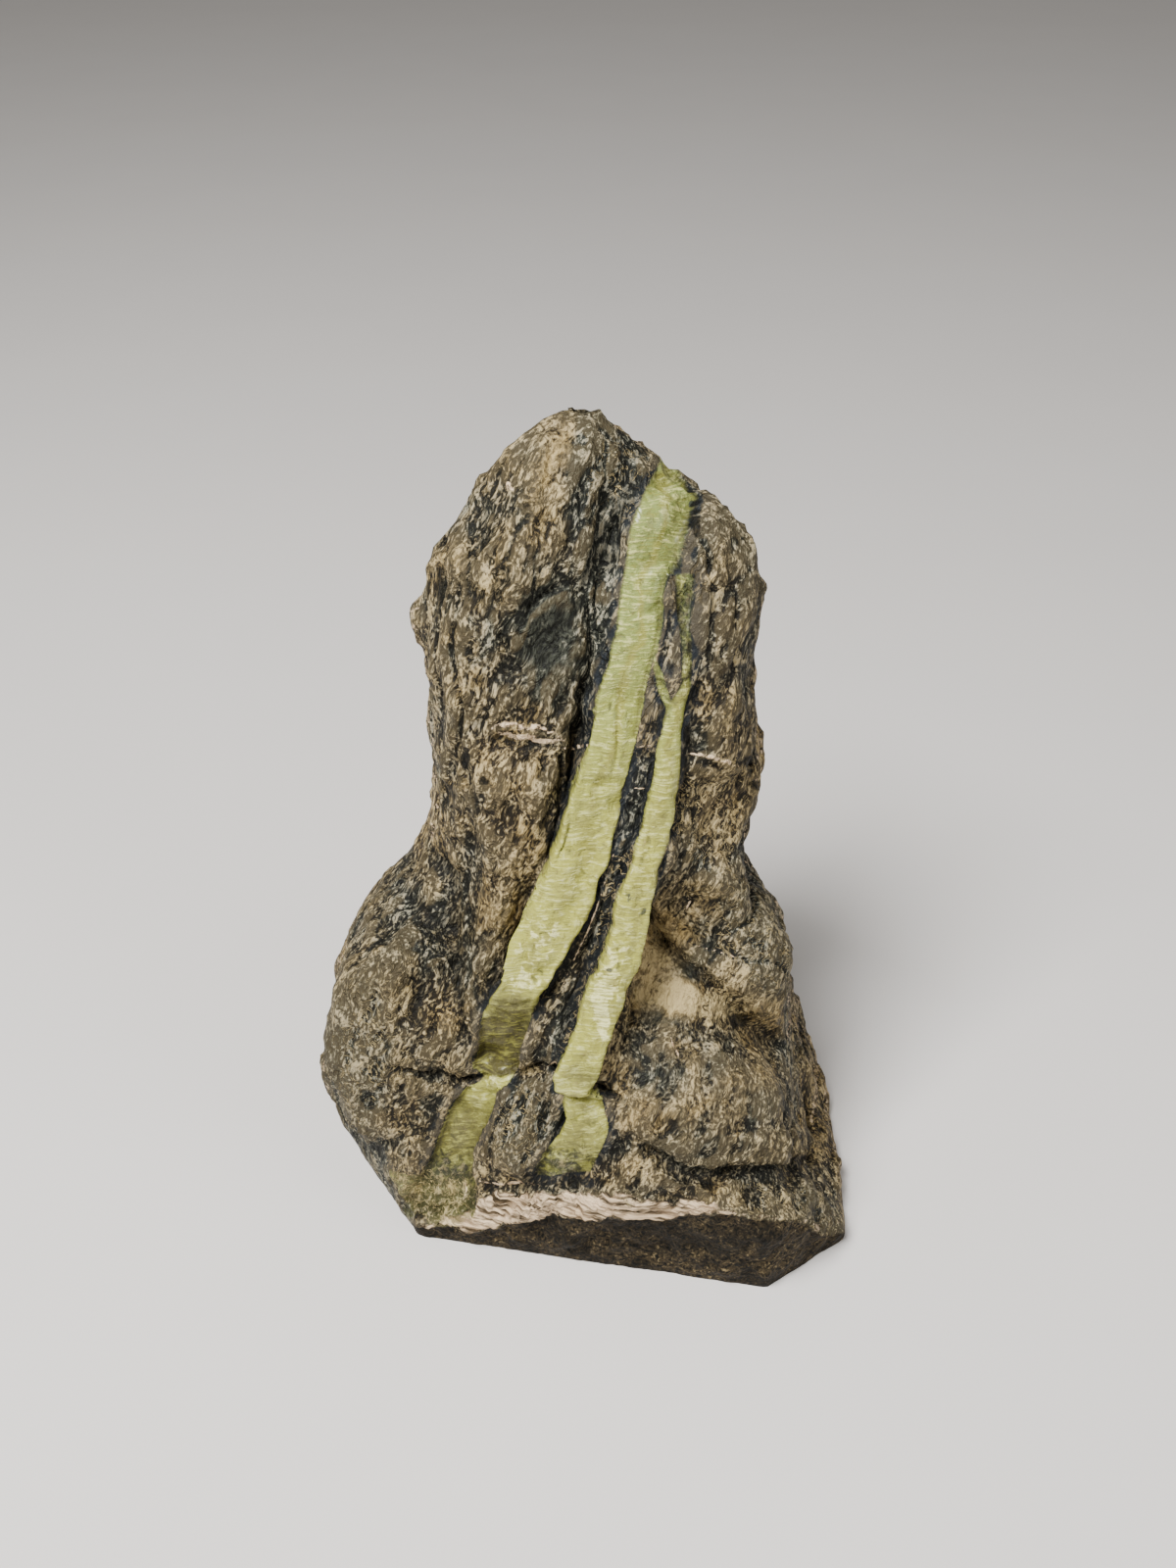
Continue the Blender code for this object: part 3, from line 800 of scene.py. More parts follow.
def vein_skin(points, along):
    """A vein's own waves in millimetres: low swells, and faint ribs across the vein."""
    swells = 0.7 * named_noise(points, "vein swells")
    dents = 0.6 * np.minimum(named_noise(points, "vein dents"), 0.1)
    creases = 0.25 * (CREST_LEVEL - np.abs(named_noise(points, "vein creases")))
    ribbed = np.stack([along / RIB_STEP, points[..., 0] / RIB_LENGTH, points[..., 1] / RIB_LENGTH], -1)
    return swells + dents + creases + 0.16 * gradient_noise(ribbed, GRAIN_SEED + 42)


def blurred(field, reach):
    """The mean of a field over a square of the grid, wrapping round the stone."""
    for axis, mode in ((1, "wrap"), (0, "edge")):
        width = [(0, 0)] * field.ndim
        width[axis] = (reach, reach)
        padded = np.pad(field, width, mode=mode)
        parts = [np.take(padded, range(k, k + field.shape[axis]), axis) for k in range(2 * reach + 1)]
        field = sum(parts) / len(parts)
    return field


def stone_surface(columns, rows, relief_share, grain_share):
    """The stone's skin as a grid of points in millimetres, from the underside up, and its named fields.

    The loft is pushed out along its normals by the relief, and along the new normals by the roughness."""
    heights = np.interp(np.linspace(0.0, 1.0, rows), ROW_SHARES, ROW_HEIGHTS)
    grid = lofted(heights, azimuths(columns))
    normals = outward_normals(grid)
    to_eye = np.array(EYE) - grid
    to_eye /= np.linalg.norm(to_eye, axis=-1, keepdims=True)
    facing = smooth_step(*FACING, (normals * to_eye).sum(-1))
    x, y = wandered(grid, WANDER)

    large = mounds(x, y, PILLOWS, 1.5) + grooves(x, y, GROOVES) + ledges(x, y, LEDGES)
    small = mounds(x, y, SMALL_PILLOWS, 1.5) + grooves(x, y, CRACKS) + ledges(x, y, SMALL_LEDGES)
    relief = large + small
    green = np.full(x.shape, -1e3)
    across = np.zeros(x.shape)
    vein_x, vein_y = wandered(grid, VEIN_WANDER)
    for vein in (MAIN_VEIN, RIGHT_VEIN):
        inside, level, off_middle = vein_at(vein_x, vein_y, vein)
        share = smooth_step(-VEIN_EDGE / 2, VEIN_EDGE / 2, inside)
        relief += share * (level - relief + VEIN_DETAIL * small)
        across = np.where(inside > green, off_middle, across)
        green = np.maximum(green, inside)
    hidden = 1.0 - facing
    for half_width, line in STRANDS:
        away, _, fade = from_line(vein_x, vein_y, line)
        green = np.maximum(green, half_width * (STRAND_END + fade) - away - HIDDEN_STRAND * hidden)
    green -= hidden * (HIDDEN_VEIN[0] + HIDDEN_VEIN[1] * named_noise(grid, "hidden vein"))

    in_seam, below_seam = seam_at(x, y, grid)
    seam_share = smooth_step(-SEAM_EDGE, SEAM_EDGE, in_seam)
    relief += seam_share * SEAM_RISE * (0.5 + 0.8 * flaked(y, grid))
    steady = facing * relief * relief_share + bosses(grid) + grain(grid)

    settled = smooth_step(0.0, UNDERSIDE_FADE, grid[..., 2])
    grid = grid + (steady * settled)[..., None] * normals
    normals = outward_normals(blurred(grid, 2))
    in_vein = smooth_step(-2.0, 3.0, green)
    along = y / PIXELS_PER_MM
    coarse = 1.0 - SMOOTHED * np.clip(mounds(x, y, SMOOTH_PLACES, 0.5), 0.0, 1.0) * facing
    rough = (1.0 - in_vein) * coarse * broken_skin(grid) + in_vein * vein_skin(grid, along)
    rough *= grain_share * (FOOT_ROUGHNESS + (1.0 - FOOT_ROUGHNESS) * settled)
    grid = grid + rough[..., None] * normals
    grid[..., 2] = np.maximum(grid[..., 2], 0.0)

    x, y = wandered(grid, VEIN_WANDER)
    seen = HIDDEN_WEATHERING + (1.0 - HIDDEN_WEATHERING) * facing
    fields = {
        "green": green / PIXELS_PER_MM,
        "across": across,
        "along": along,
        "seam": in_seam / PIXELS_PER_MM,
        "below_seam": below_seam / PIXELS_PER_MM,
        "weathering_and_painted_light": mounds(x, y, WEATHERING_AND_PAINTED_LIGHT, 1.0) * seen,
        "white": white_lines(x, y) * facing,
        "faint": mounds(x, y, FAINT, 0.7),
        "olive": mounds(x, y, OLIVE, 0.7),
        "painted_highlight": mounds(x, y, PAINTED_HIGHLIGHTS, 0.7) * facing,
        "smooth": np.clip(mounds(x, y, SMOOTH_PLACES, 0.5), 0.0, 1.0) * facing,
        "spots": mounds(x, y, SPOTS, 0.7) * facing,
        "threads": mounds(x, y, THREADS, 0.7) * facing,
        "front": facing,
        "hollow": hollow(grid, 3) + 0.5 * hollow(grid, 8),
    }
    return grid, fields


def white_lines(x, y):
    """How near a place is to a line of calcite: 1 on the line, 0 at its half width, negative beyond."""
    best = np.full(x.shape, -4.0)
    for half_width, line in WHITE_LINES:
        away, _, fade = from_line(x, y, line)
        best = np.maximum(best, (0.4 + 0.6 * fade) - away / half_width)
    return best


def hollow(grid, reach):
    """Millimetres that a point lies under the mean of the ground round it."""
    return ((blurred(grid, reach) - grid) * outward_normals(grid)).sum(-1)


def with_underside(grid, fields):
    """The grid with rings added under it, drawn in to the middle of the foot and slightly dished."""
    rim = grid[0]
    middle = rim.mean(0)
    shares = np.linspace(0.0, 1.0, UNDERSIDE_RINGS + 1)[1:, None, None] * 0.995
    rings = rim + (middle - rim) * shares
    rise = np.abs(named_noise(rings, "foot")) + np.abs(named_noise(rings, "fine foot")) / 2
    rings[..., 2] = UNDERSIDE_DISH * rise * np.sin(math.pi * shares[..., 0]) ** 0.5 + 0.05 * shares[..., 0]
    outer = {}
    for name, field in fields.items():
        fall = UNDERSIDE_FALL if name in ("green", "seam", "white", "spots", "threads") else 0.0
        outer[name] = np.concatenate([(field[:1] - fall * shares[..., 0])[::-1], field])
    return np.concatenate([rings[::-1], grid]), outer


def closed_mesh(name, grid, top, fields):
    """A mesh of the grid's quads with its fields, closed by a fan at the bottom and one up to the top."""
    rows, columns, _ = grid.shape
    bottom = grid[0].mean(0)
    points = np.concatenate([grid.reshape(-1, 3), [bottom, top]]) * MM
    first = np.arange(rows * columns).reshape(rows, columns)
    after = np.roll(first, -1, 1)
    quads = np.stack([first[:-1], after[:-1], after[1:], first[1:]], -1).reshape(-1, 4)
    low_fan = np.stack([after[0], first[0], np.full(columns, rows * columns)], -1)
    high_fan = np.stack([first[-1], after[-1], np.full(columns, rows * columns + 1)], -1)
    corners = np.concatenate([quads.ravel(), low_fan.ravel(), high_fan.ravel()])
    sizes = np.concatenate([np.full(len(quads), 4), np.full(2 * columns, 3)])
    mesh = bpy.data.meshes.new(name)
    mesh.vertices.add(len(points))
    mesh.vertices.foreach_set("co", points.ravel())
    mesh.loops.add(len(corners))
    mesh.loops.foreach_set("vertex_index", corners)
    mesh.polygons.add(len(sizes))
    mesh.polygons.foreach_set("loop_start", np.concatenate([[0], np.cumsum(sizes)[:-1]]))
    for field_name, field in fields.items():
        values = np.concatenate([field.ravel(), [field[0].mean(), field[-1].mean()]])
        mesh.attributes.new(field_name, "FLOAT", "POINT").data.foreach_set("value", values)
    mesh.update(calc_edges=True)
    mesh.validate()
    mesh.shade_smooth()
    return mesh


# Noises of the rock's colour that are drawn out along the foliation: stretch, size of the bends and how far
# they bend in metres, and then the noise's own size in metres, detail, roughness and distortion.
SPLIT_NOISES = {
    "strokes": (2.2, 0.005, 0.0022, 0.00046, 3.0, 0.60, 0.35),
    "wrinkles": (1.8, 0.005, 0.0030, 0.0015, 3.0, 0.60, 0.30),
    "folds": (2.4, 0.007, 0.0040, 0.0036, 3.0, 0.60, 0.30),
    "streaks": (3.0, 0.008, 0.0050, 0.0026, 4.0, 0.62, 0.30),
    "creases": (2.2, 0.005, 0.0040, 0.0046, 3.0, 0.55),
}
# The floor's darker clouds have this share of its colour.
FLOOR_MOTTLE = 0.96


class Wiring:
    """Short calls for the nodes of one material. Its colours are named after those of the settings."""

    def __init__(self, material, settings):
        material.use_nodes = True
        self.settings = settings
        self.tree = material.node_tree
        self.shader = self.tree.nodes["Principled BSDF"]
        self.place = self.add("ShaderNodeTexCoord").outputs["Object"]

    def add(self, kind, **settings):
        node = self.tree.nodes.new(kind)
        for name, value in settings.items():
            setattr(node, name, value)
        return node

    def put(self, socket, value):
        """Sets a socket: a link from another socket, the name of a colour, or a plain value."""
        if isinstance(value, bpy.types.NodeSocket):
            self.tree.links.new(value, socket)
        elif isinstance(value, str):
            socket.default_value = opaque(getattr(self.settings, value + "_colour"))
        else:
            socket.default_value = value

    def field(self, name):
        return self.add("ShaderNodeAttribute", attribute_name=name).outputs["Fac"]

    def math(self, operation, *values):
        node = self.add("ShaderNodeMath", operation=operation)
        for socket, value in zip(node.inputs, values):
            self.put(socket, value)
        return node.outputs[0]

    def sum(self, *values):
        total = values[0]
        for value in values[1:]:
            total = self.math("ADD", total, value)
        return total

    def times(self, *values):
        total = values[0]
        for value in values[1:]:
            total = self.math("MULTIPLY", total, value)
        return total

    def step(self, value, low, high, start=0.0, end=1.0):
        """An S-curve from start, where the value is low, to end, where it is high."""
        node = self.add("ShaderNodeMapRange", interpolation_type="SMOOTHSTEP")
        settings = {"Value": value, "From Min": low, "From Max": high, "To Min": start, "To Max": end}
        for name, setting in settings.items():
            self.put(node.inputs[name], setting)
        return node.outputs["Result"]

    def noise(self, place, size, detail=3.0, roughness=0.5, distortion=0.0):
        """Noise with features of about the given size in metres."""
        node = self.add("ShaderNodeTexNoise")
        settings = {"Vector": place, "Detail": detail, "Roughness": roughness, "Distortion": distortion}
        for name, setting in settings.items():
            self.put(node.inputs[name], setting)
        node.inputs["Scale"].default_value = 1.0 / size
        return node.outputs["Fac"]

    def swing(self, value, amount=1.0):
        """A value's difference from a half, times the amount."""
        return self.times(self.math("SUBTRACT", value, 0.5), amount)

    def off_half(self, value):
        """How far a value is from a half: of a noise, 0 along winding lines."""
        return self.math("ABSOLUTE", self.swing(value))

    def ragged_step(self, field, noise, amount, low, high):
        """An S-curve over a field, whose edges are made ragged by that amount of a noise."""
        return self.step(self.sum(self.field(field), self.swing(noise, amount)), low, high)

    def mix(self, share, first, second):
        """A mix of two colours."""
        node = self.add("ShaderNodeMix", data_type="RGBA", clamp_factor=True)
        self.put(node.inputs[0], share)
        self.put(node.inputs[6], first)
        self.put(node.inputs[7], second)
        return node.outputs[2]

    def blend(self, share, first, second):
        """A mix of two numbers."""
        node = self.add("ShaderNodeMix", data_type="FLOAT", clamp_factor=True)
        self.put(node.inputs[0], share)
        self.put(node.inputs[2], first)
        self.put(node.inputs[3], second)
        return node.outputs[0]

    def split_place(self, stretch):
        """Object coordinates turned so that the foliation stands upright, and squeezed along it."""
        turn = self.add("ShaderNodeMapping")
        self.put(turn.inputs["Vector"], self.place)
        turn.inputs["Rotation"].default_value = split_turn().to_euler()
        squeeze = self.add("ShaderNodeMapping")
        self.put(squeeze.inputs["Vector"], turn.outputs["Vector"])
        squeeze.inputs["Scale"].default_value = (1.0, 1.0, 1.0 / stretch)
        return squeeze.outputs["Vector"]

    def split_noise(self, name):
        """One of the named noises that are drawn out along the foliation."""
        stretch, bend_size, bend, *noise = SPLIT_NOISES[name]
        return self.noise(self.bent(self.split_place(stretch), bend_size, bend), *noise)

    def bent(self, place, size, amount):
        """A place shifted by coloured noise, which bends whatever pattern reads it."""
        node = self.add("ShaderNodeTexNoise")
        self.put(node.inputs["Vector"], self.place)
        node.inputs["Scale"].default_value = 1.0 / size
        node.inputs["Detail"].default_value = 2.0
        centred = self.add("ShaderNodeVectorMath", operation="SUBTRACT")
        self.put(centred.inputs[0], node.outputs["Color"])
        centred.inputs[1].default_value = (0.5, 0.5, 0.5)
        scaled = self.add("ShaderNodeVectorMath", operation="SCALE")
        self.put(scaled.inputs[0], centred.outputs["Vector"])
        scaled.inputs["Scale"].default_value = amount
        moved = self.add("ShaderNodeVectorMath", operation="ADD")
        self.put(moved.inputs[0], place)
        self.put(moved.inputs[1], scaled.outputs["Vector"])
        return moved.outputs["Vector"]


def opaque(colour):
    return (*colour, 1.0)


def rock_finish(wires):
    """Dark matrix, felted with pale strokes along the foliation, tan where weathered and where painted light
    lifts the shade of hollows, black in its creases, darkened by painted shade in its hollows, and tan on its
    crests, partly wear and partly painted highlight.

    Gives the colour, the roughness and the height in millimetres."""
    strokes = wires.split_noise("strokes")
    wrinkles = wires.off_half(wires.split_noise("wrinkles"))
    folds = wires.off_half(wires.split_noise("folds"))
    streaks = wires.split_noise("streaks")
    fine = wires.noise(wires.place, 0.0011, 3.0, 0.6)
    patches = wires.noise(wires.place, 0.013, 4.0, 0.55, 0.6)
    broad = wires.noise(wires.place, 0.030, 2.0, 0.5, 0.4)
    tan_amount = wires.sum(
        wires.times(wires.field("weathering_and_painted_light"), 0.50),
        wires.swing(patches, 2.0),
        wires.swing(broad, wires.step(wires.field("front"), 0.0, 0.8, 4.0, 0.0)),
        wires.swing(streaks, 1.6),
        0.26,
    )
    tan = wires.step(tan_amount, -0.25, 1.05)
    speckle = wires.sum(
        strokes,
        wires.times(wires.math("SUBTRACT", wrinkles, 0.085), 1.1),
        wires.times(wires.math("SUBTRACT", folds, 0.085), 0.8),
        wires.swing(streaks, 0.20),
    )
    calm = wires.step(wires.noise(wires.place, 0.010, 3.0), 0.50, 0.66, 0.0, 0.15)
    calm = wires.math("MAXIMUM", calm, wires.times(wires.field("smooth"), 0.7))
    speckle = wires.blend(calm, speckle, wires.blend(tan, 0.445, 0.58))
    pale = wires.step(speckle, 0.48, 0.60)
    ground = wires.mix(tan, "matrix", "brown")
    middle = wires.mix(tan, "olive_grey", "umber")
    crust = wires.mix(tan, "grey", "tan")
    ochre = wires.times(wires.step(wires.noise(wires.place, 0.006, 3.0, 0.5, 0.3), 0.46, 0.62), tan)
    crust = wires.mix(wires.times(ochre, 0.6), crust, "ochre")
    middle = wires.mix(wires.times(ochre, 0.2), middle, "ochre")
    colour = wires.mix(wires.step(speckle, 0.40, 0.48), ground, middle)
    colour = wires.mix(pale, colour, crust)
    cream = wires.times(wires.step(speckle, 0.58, 0.70, 0.0, 0.9), wires.step(tan, 0.05, 0.55, 0.30, 1.0))
    colour = wires.mix(cream, colour, "beige")
    worn_smooth = wires.sum(
        wires.field("weathering_and_painted_light"),
        wires.swing(fine, 2.6),
        wires.swing(wires.noise(wires.place, 0.0035, 3.0, 0.6), 1.6),
    )
    beige = wires.step(worn_smooth, 1.2, 1.7)
    colour = wires.mix(wires.times(beige, wires.step(speckle, 0.40, 0.56, 0.35, 0.85)), colour, "beige")
    beside_vein = wires.ragged_step("green", streaks, 5.0, -2.6, -0.2)
    rim = wires.times(
        beside_vein,
        wires.field("front"),
        wires.step(pale, 0.0, 1.0, 0.92, 0.60),
        wires.step(wires.field("weathering_and_painted_light"), 0.1, 0.7, 1.0, 0.15),
    )
    colour = wires.mix(rim, colour, "rim")
    crease = wires.step(wires.off_half(wires.split_noise("creases")), 0.022, 0.002)
    crease = wires.times(crease, wires.step(wires.noise(wires.place, 0.010, 2.0), 0.44, 0.60))
    # Painted shade: rock that lies below the ground round it is darkened towards the crack colour, less so
    # where the weathering field is high; the creases are real dark lines.
    dark = wires.ragged_step("hollow", strokes, -0.6, 0.06, 0.40)
    open_ground = wires.step(wires.field("weathering_and_painted_light"), 0.3, 1.0, 0.55, 0.12)
    dark = wires.math("MAXIMUM", wires.times(dark, open_ground), wires.times(crease, 0.85))
    colour = wires.mix(dark, colour, "crack_and_shade")
    threads = wires.off_half(wires.noise(wires.bent(wires.place, 0.006, 0.006), 0.0021, 2.0, 0.5, 1.2))
    threads = wires.step(threads, 0.022, 0.006)
    threads = wires.times(threads, wires.ragged_step("threads", streaks, 2.0, 0.2, 0.8))
    colour = wires.mix(wires.times(threads, 0.75), colour, "beige")
    # Raised crests are mixed towards tan: partly wear, partly painted highlight that brings out the shape.
    crest_wear_and_highlight = wires.step(wires.field("hollow"), -0.06, -0.34)
    colour = wires.mix(wires.times(crest_wear_and_highlight, wires.step(pale, 0.0, 1.0, 0.12, 0.45)), colour, "tan")
    spots = wires.ragged_step("spots", strokes, 2.4, 0.3, 0.9)
    colour = wires.mix(wires.times(spots, 0.9), colour, "crack_and_shade")
    gloss = wires.blend(pale, 0.58, 0.80)
    height = wires.sum(
        wires.times(strokes, 0.20),
        wires.times(fine, 0.25),
        wires.times(wrinkles, 0.9),
        wires.times(folds, 1.4),
        wires.times(streaks, 0.8),
        wires.times(crease, -0.22),
        wires.times(threads, 0.08),
        wires.times(spots, -0.3),
    )
    return colour, gloss, height


def break_finish(wires, colour, gloss, height):
    """The lower break: flat brown-grey rock with fine pale flecks, laid over the matrix."""
    below = wires.sum(wires.field("below_seam"), wires.times(wires.noise(wires.place, 0.002), 0.6))
    share = wires.times(wires.step(below, 0.1, 0.7), wires.step(wires.field("front"), -1.0, 0.2))
    specks = wires.noise(wires.bent(wires.place, 0.004, 0.002), 0.0006, 3.0, 0.65, 0.6)
    stains = wires.noise(wires.place, 0.006, 4.0, 0.6)
    plain = wires.mix(wires.step(stains, 0.42, 0.60), "brown", "break")
    plain = wires.mix(wires.step(specks, 0.52, 0.40), plain, "crack_and_shade")
    flecks = wires.times(wires.step(specks, 0.56, 0.68), wires.step(stains, 0.44, 0.64, 0.10, 0.45))
    flecked = wires.mix(flecks, plain, "tan")
    low = wires.blend(share, height, wires.times(height, 0.5))
    return wires.mix(share, colour, flecked), wires.blend(share, gloss, 0.72), low


def seam_finish(wires, colour, gloss, height):
    """The calcite seam: pinkish white leaves with brown dirt between them, laid over the rest."""
    leaves_place = wires.add("ShaderNodeMapping")
    wires.put(leaves_place.inputs["Vector"], wires.bent(wires.place, 0.004, 0.0010))
    leaves_place.inputs["Scale"].default_value = (0.20, 0.20, 2.0)
    leaves = wires.noise(leaves_place.outputs["Vector"], 0.0012, 4.0, 0.6)
    share = wires.ragged_step("seam", wires.noise(wires.place, 0.0016, 3.0, 0.6), 2.0, 0.05, 0.55)
    share = wires.times(share, wires.step(wires.field("front"), 0.02, 0.2))
    white = wires.mix(wires.step(leaves, 0.38, 0.58), "dirt", "calcite")
    blush = wires.step(wires.noise(wires.place, 0.005, 2.0), 0.45, 0.65)
    white = wires.mix(wires.times(blush, 0.5), white, "blush")
    # Darker brown where the seam lies below the ground round it.
    darker_in_hollows = wires.step(wires.field("hollow"), 0.08, 0.40)
    white = wires.mix(wires.times(darker_in_hollows, 0.6), white, "dirt")
    height = wires.blend(share, height, wires.times(leaves, 0.8))
    return wires.mix(share, colour, white), wires.blend(share, gloss, 0.6), height


def line_finish(wires, colour, gloss, height):
    """Fine lines of calcite across the rock."""
    share = wires.ragged_step("white", wires.noise(wires.place, 0.0009, 3.0, 0.6), 2.4, 0.05, 0.50)
    blush = wires.step(wires.noise(wires.place, 0.0022, 3.0), 0.50, 0.36)
    calcite = wires.mix(blush, "calcite", "blush")
    height = wires.sum(height, wires.times(share, 0.15))
    return wires.mix(wires.times(share, 0.9), colour, calcite), gloss, height


def vein_finish(wires, colour, gloss, height):
    """Green veins: waxy, with fibres across the vein, yellow clouds, painted highlights on clean breaks and
    dull olive ends.

    Gives the veins' share as well."""
    fibre_place = wires.add("ShaderNodeCombineXYZ")
    wires.put(fibre_place.inputs["X"], wires.times(wires.field("across"), 0.16))
    wires.put(fibre_place.inputs["Y"], wires.field("along"))
    fibre_bent = wires.add("ShaderNodeVectorMath", operation="SCALE")
    wires.put(fibre_bent.inputs[0], fibre_place.outputs["Vector"])
    fibre_bent.inputs["Scale"].default_value = MM
    fibres = wires.noise(wires.bent(fibre_bent.outputs["Vector"], 0.005, 0.0012), 0.00045, 4.0, 0.68)
    clouds = wires.noise(wires.place, 0.007, 3.0, 0.55, 0.5)
    flecks = wires.noise(wires.place, 0.0013, 3.0, 0.6, 0.6)
    down = wires.step(wires.field("along"), 100.0, 150.0)
    fresh = wires.mix(down, "upper_vein", "vein")
    wandering = wires.sum(wires.field("across"), wires.swing(clouds, 9.0))
    core = wires.step(wires.math("ABSOLUTE", wandering), 1.4, 0.2)
    fresh = wires.mix(wires.times(core, 0.75), fresh, "yellow")
    fibred = wires.sum(fibres, wires.swing(flecks, 0.35))
    green = wires.mix(wires.step(fibred, 0.50, 0.64, 0.0, 0.80), fresh, "pale_vein")
    green = wires.mix(wires.step(fibred, 0.48, 0.34, 0.0, 0.70), green, "yellow")
    # Painted highlight: pale patches on the veins' clean breaks, broken up by the fibres into glints.
    painted_highlight = wires.ragged_step("painted_highlight", flecks, 2.4, 0.30, 0.60)
    painted_highlight = wires.times(painted_highlight, wires.step(fibred, 0.42, 0.56, 0.15, 0.95))
    green = wires.mix(painted_highlight, green, "painted_vein_highlight")
    dull = wires.mix(wires.step(fibred, 0.46, 0.68), "olive", "yellow")
    green = wires.mix(wires.step(wires.field("olive"), 0.1, 0.9), green, dull)
    edge = wires.sum(wires.field("green"), wires.swing(wires.noise(wires.place, 0.0010, 4.0, 0.65), 0.9))
    # Browner where the vein's edge lies below the ground round it.
    darker_in_hollows = wires.times(wires.step(wires.field("hollow"), 0.10, 0.45), wires.step(edge, 1.2, 0.3, 0.5, 1.0))
    green = wires.mix(wires.times(darker_in_hollows, 0.6), green, "stain")
    soft = wires.step(wires.field("along"), 90.0, 130.0, 0.34, 0.10)
    share = wires.step(edge, wires.times(soft, -1.0), soft)
    faint = wires.sum(wires.field("faint"), wires.swing(flecks, -3.0))
    share = wires.times(share, wires.step(faint, 0.0, 1.2, 1.0, 0.12))
    green = wires.mix(wires.step(edge, 0.40, 0.05, 0.0, 0.40), green, "stain")
    spots = wires.ragged_step("spots", flecks, 2.4, 0.3, 0.9)
    green = wires.mix(wires.times(spots, 0.85), green, "rim")
    waves = wires.sum(wires.times(fibres, 0.32), wires.times(flecks, 0.45), wires.times(clouds, 0.6))
    height = wires.blend(share, height, wires.sum(waves, 0.15))
    gloss = wires.blend(share, gloss, wires.step(fibres, 0.3, 0.7, 0.30, 0.50))
    return wires.mix(share, colour, green), gloss, height, share


def stone_finish(settings):
    """The stone's one material: matrix, lower break, calcite and veins, each laid over the last."""
    material = bpy.data.materials.new("serpentine")
    wires = Wiring(material, settings)
    layers = rock_finish(wires)
    for finish in (break_finish, seam_finish, line_finish):
        layers = finish(wires, *layers)
    colour, gloss, height, in_vein = vein_finish(wires, *layers)
    bump = wires.add("ShaderNodeBump")
    bump.inputs["Distance"].default_value = MM
    bump.inputs["Strength"].default_value = settings.bump
    wires.put(bump.inputs["Height"], height)
    wires.put(wires.shader.inputs["Base Color"], colour)
    wires.put(wires.shader.inputs["Roughness"], gloss)
    wires.put(wires.shader.inputs["Normal"], bump.outputs["Normal"])
    raised = wires.step(wires.field("hollow"), 0.0, 0.25, 0.55, 0.10)
    fresh = wires.step(wires.field("olive"), 0.1, 0.9, 1.0, 0.4)
    wires.put(wires.shader.inputs["Coat Weight"], wires.times(in_vein, in_vein, raised, fresh))
    wires.shader.inputs["Coat Roughness"].default_value = 0.22
    wires.shader.inputs["Specular IOR Level"].default_value = 0.12
    return material


def floor_finish(settings):
    """Plain pale floor with a faint mottle."""
    material = bpy.data.materials.new("pale_floor")
    wires = Wiring(material, settings)
    mottle = wires.noise(wires.place, 0.05, 3.0)
    darker = opaque(FLOOR_MOTTLE * channel for channel in settings.floor_colour)
    wires.put(wires.shader.inputs["Base Color"], wires.mix(mottle, "floor", darker))
    wires.shader.inputs["Roughness"].default_value = 0.85
    return material


def linked(name, data):
    """A new object for the data, in the scene."""
    obj = bpy.data.objects.new(name, data)
    bpy.context.scene.collection.objects.link(obj)
    return obj


def soft_light(name, place, aim, size, power):
    """A square area light of the given size and power, turned to the aim."""
    light = bpy.data.lights.new(name, "AREA")
    light.size = size
    light.energy = power
    obj = linked(name, light)
    obj.location = place
    obj.rotation_mode = "QUATERNION"
    obj.rotation_quaternion = (Vector(aim) - Vector(place)).to_track_quat("-Z", "Y")
    return obj


def share_property(name, description):
    return bpy.props.FloatProperty(
        name=name, description=description, default=1.0, min=0.0, max=1.0, subtype="FACTOR"
    )


def colour_property(name, description, default):
    return bpy.props.FloatVectorProperty(
        name=name, description=description, default=default, size=3, min=0.0, max=1.0, subtype="COLOR"
    )


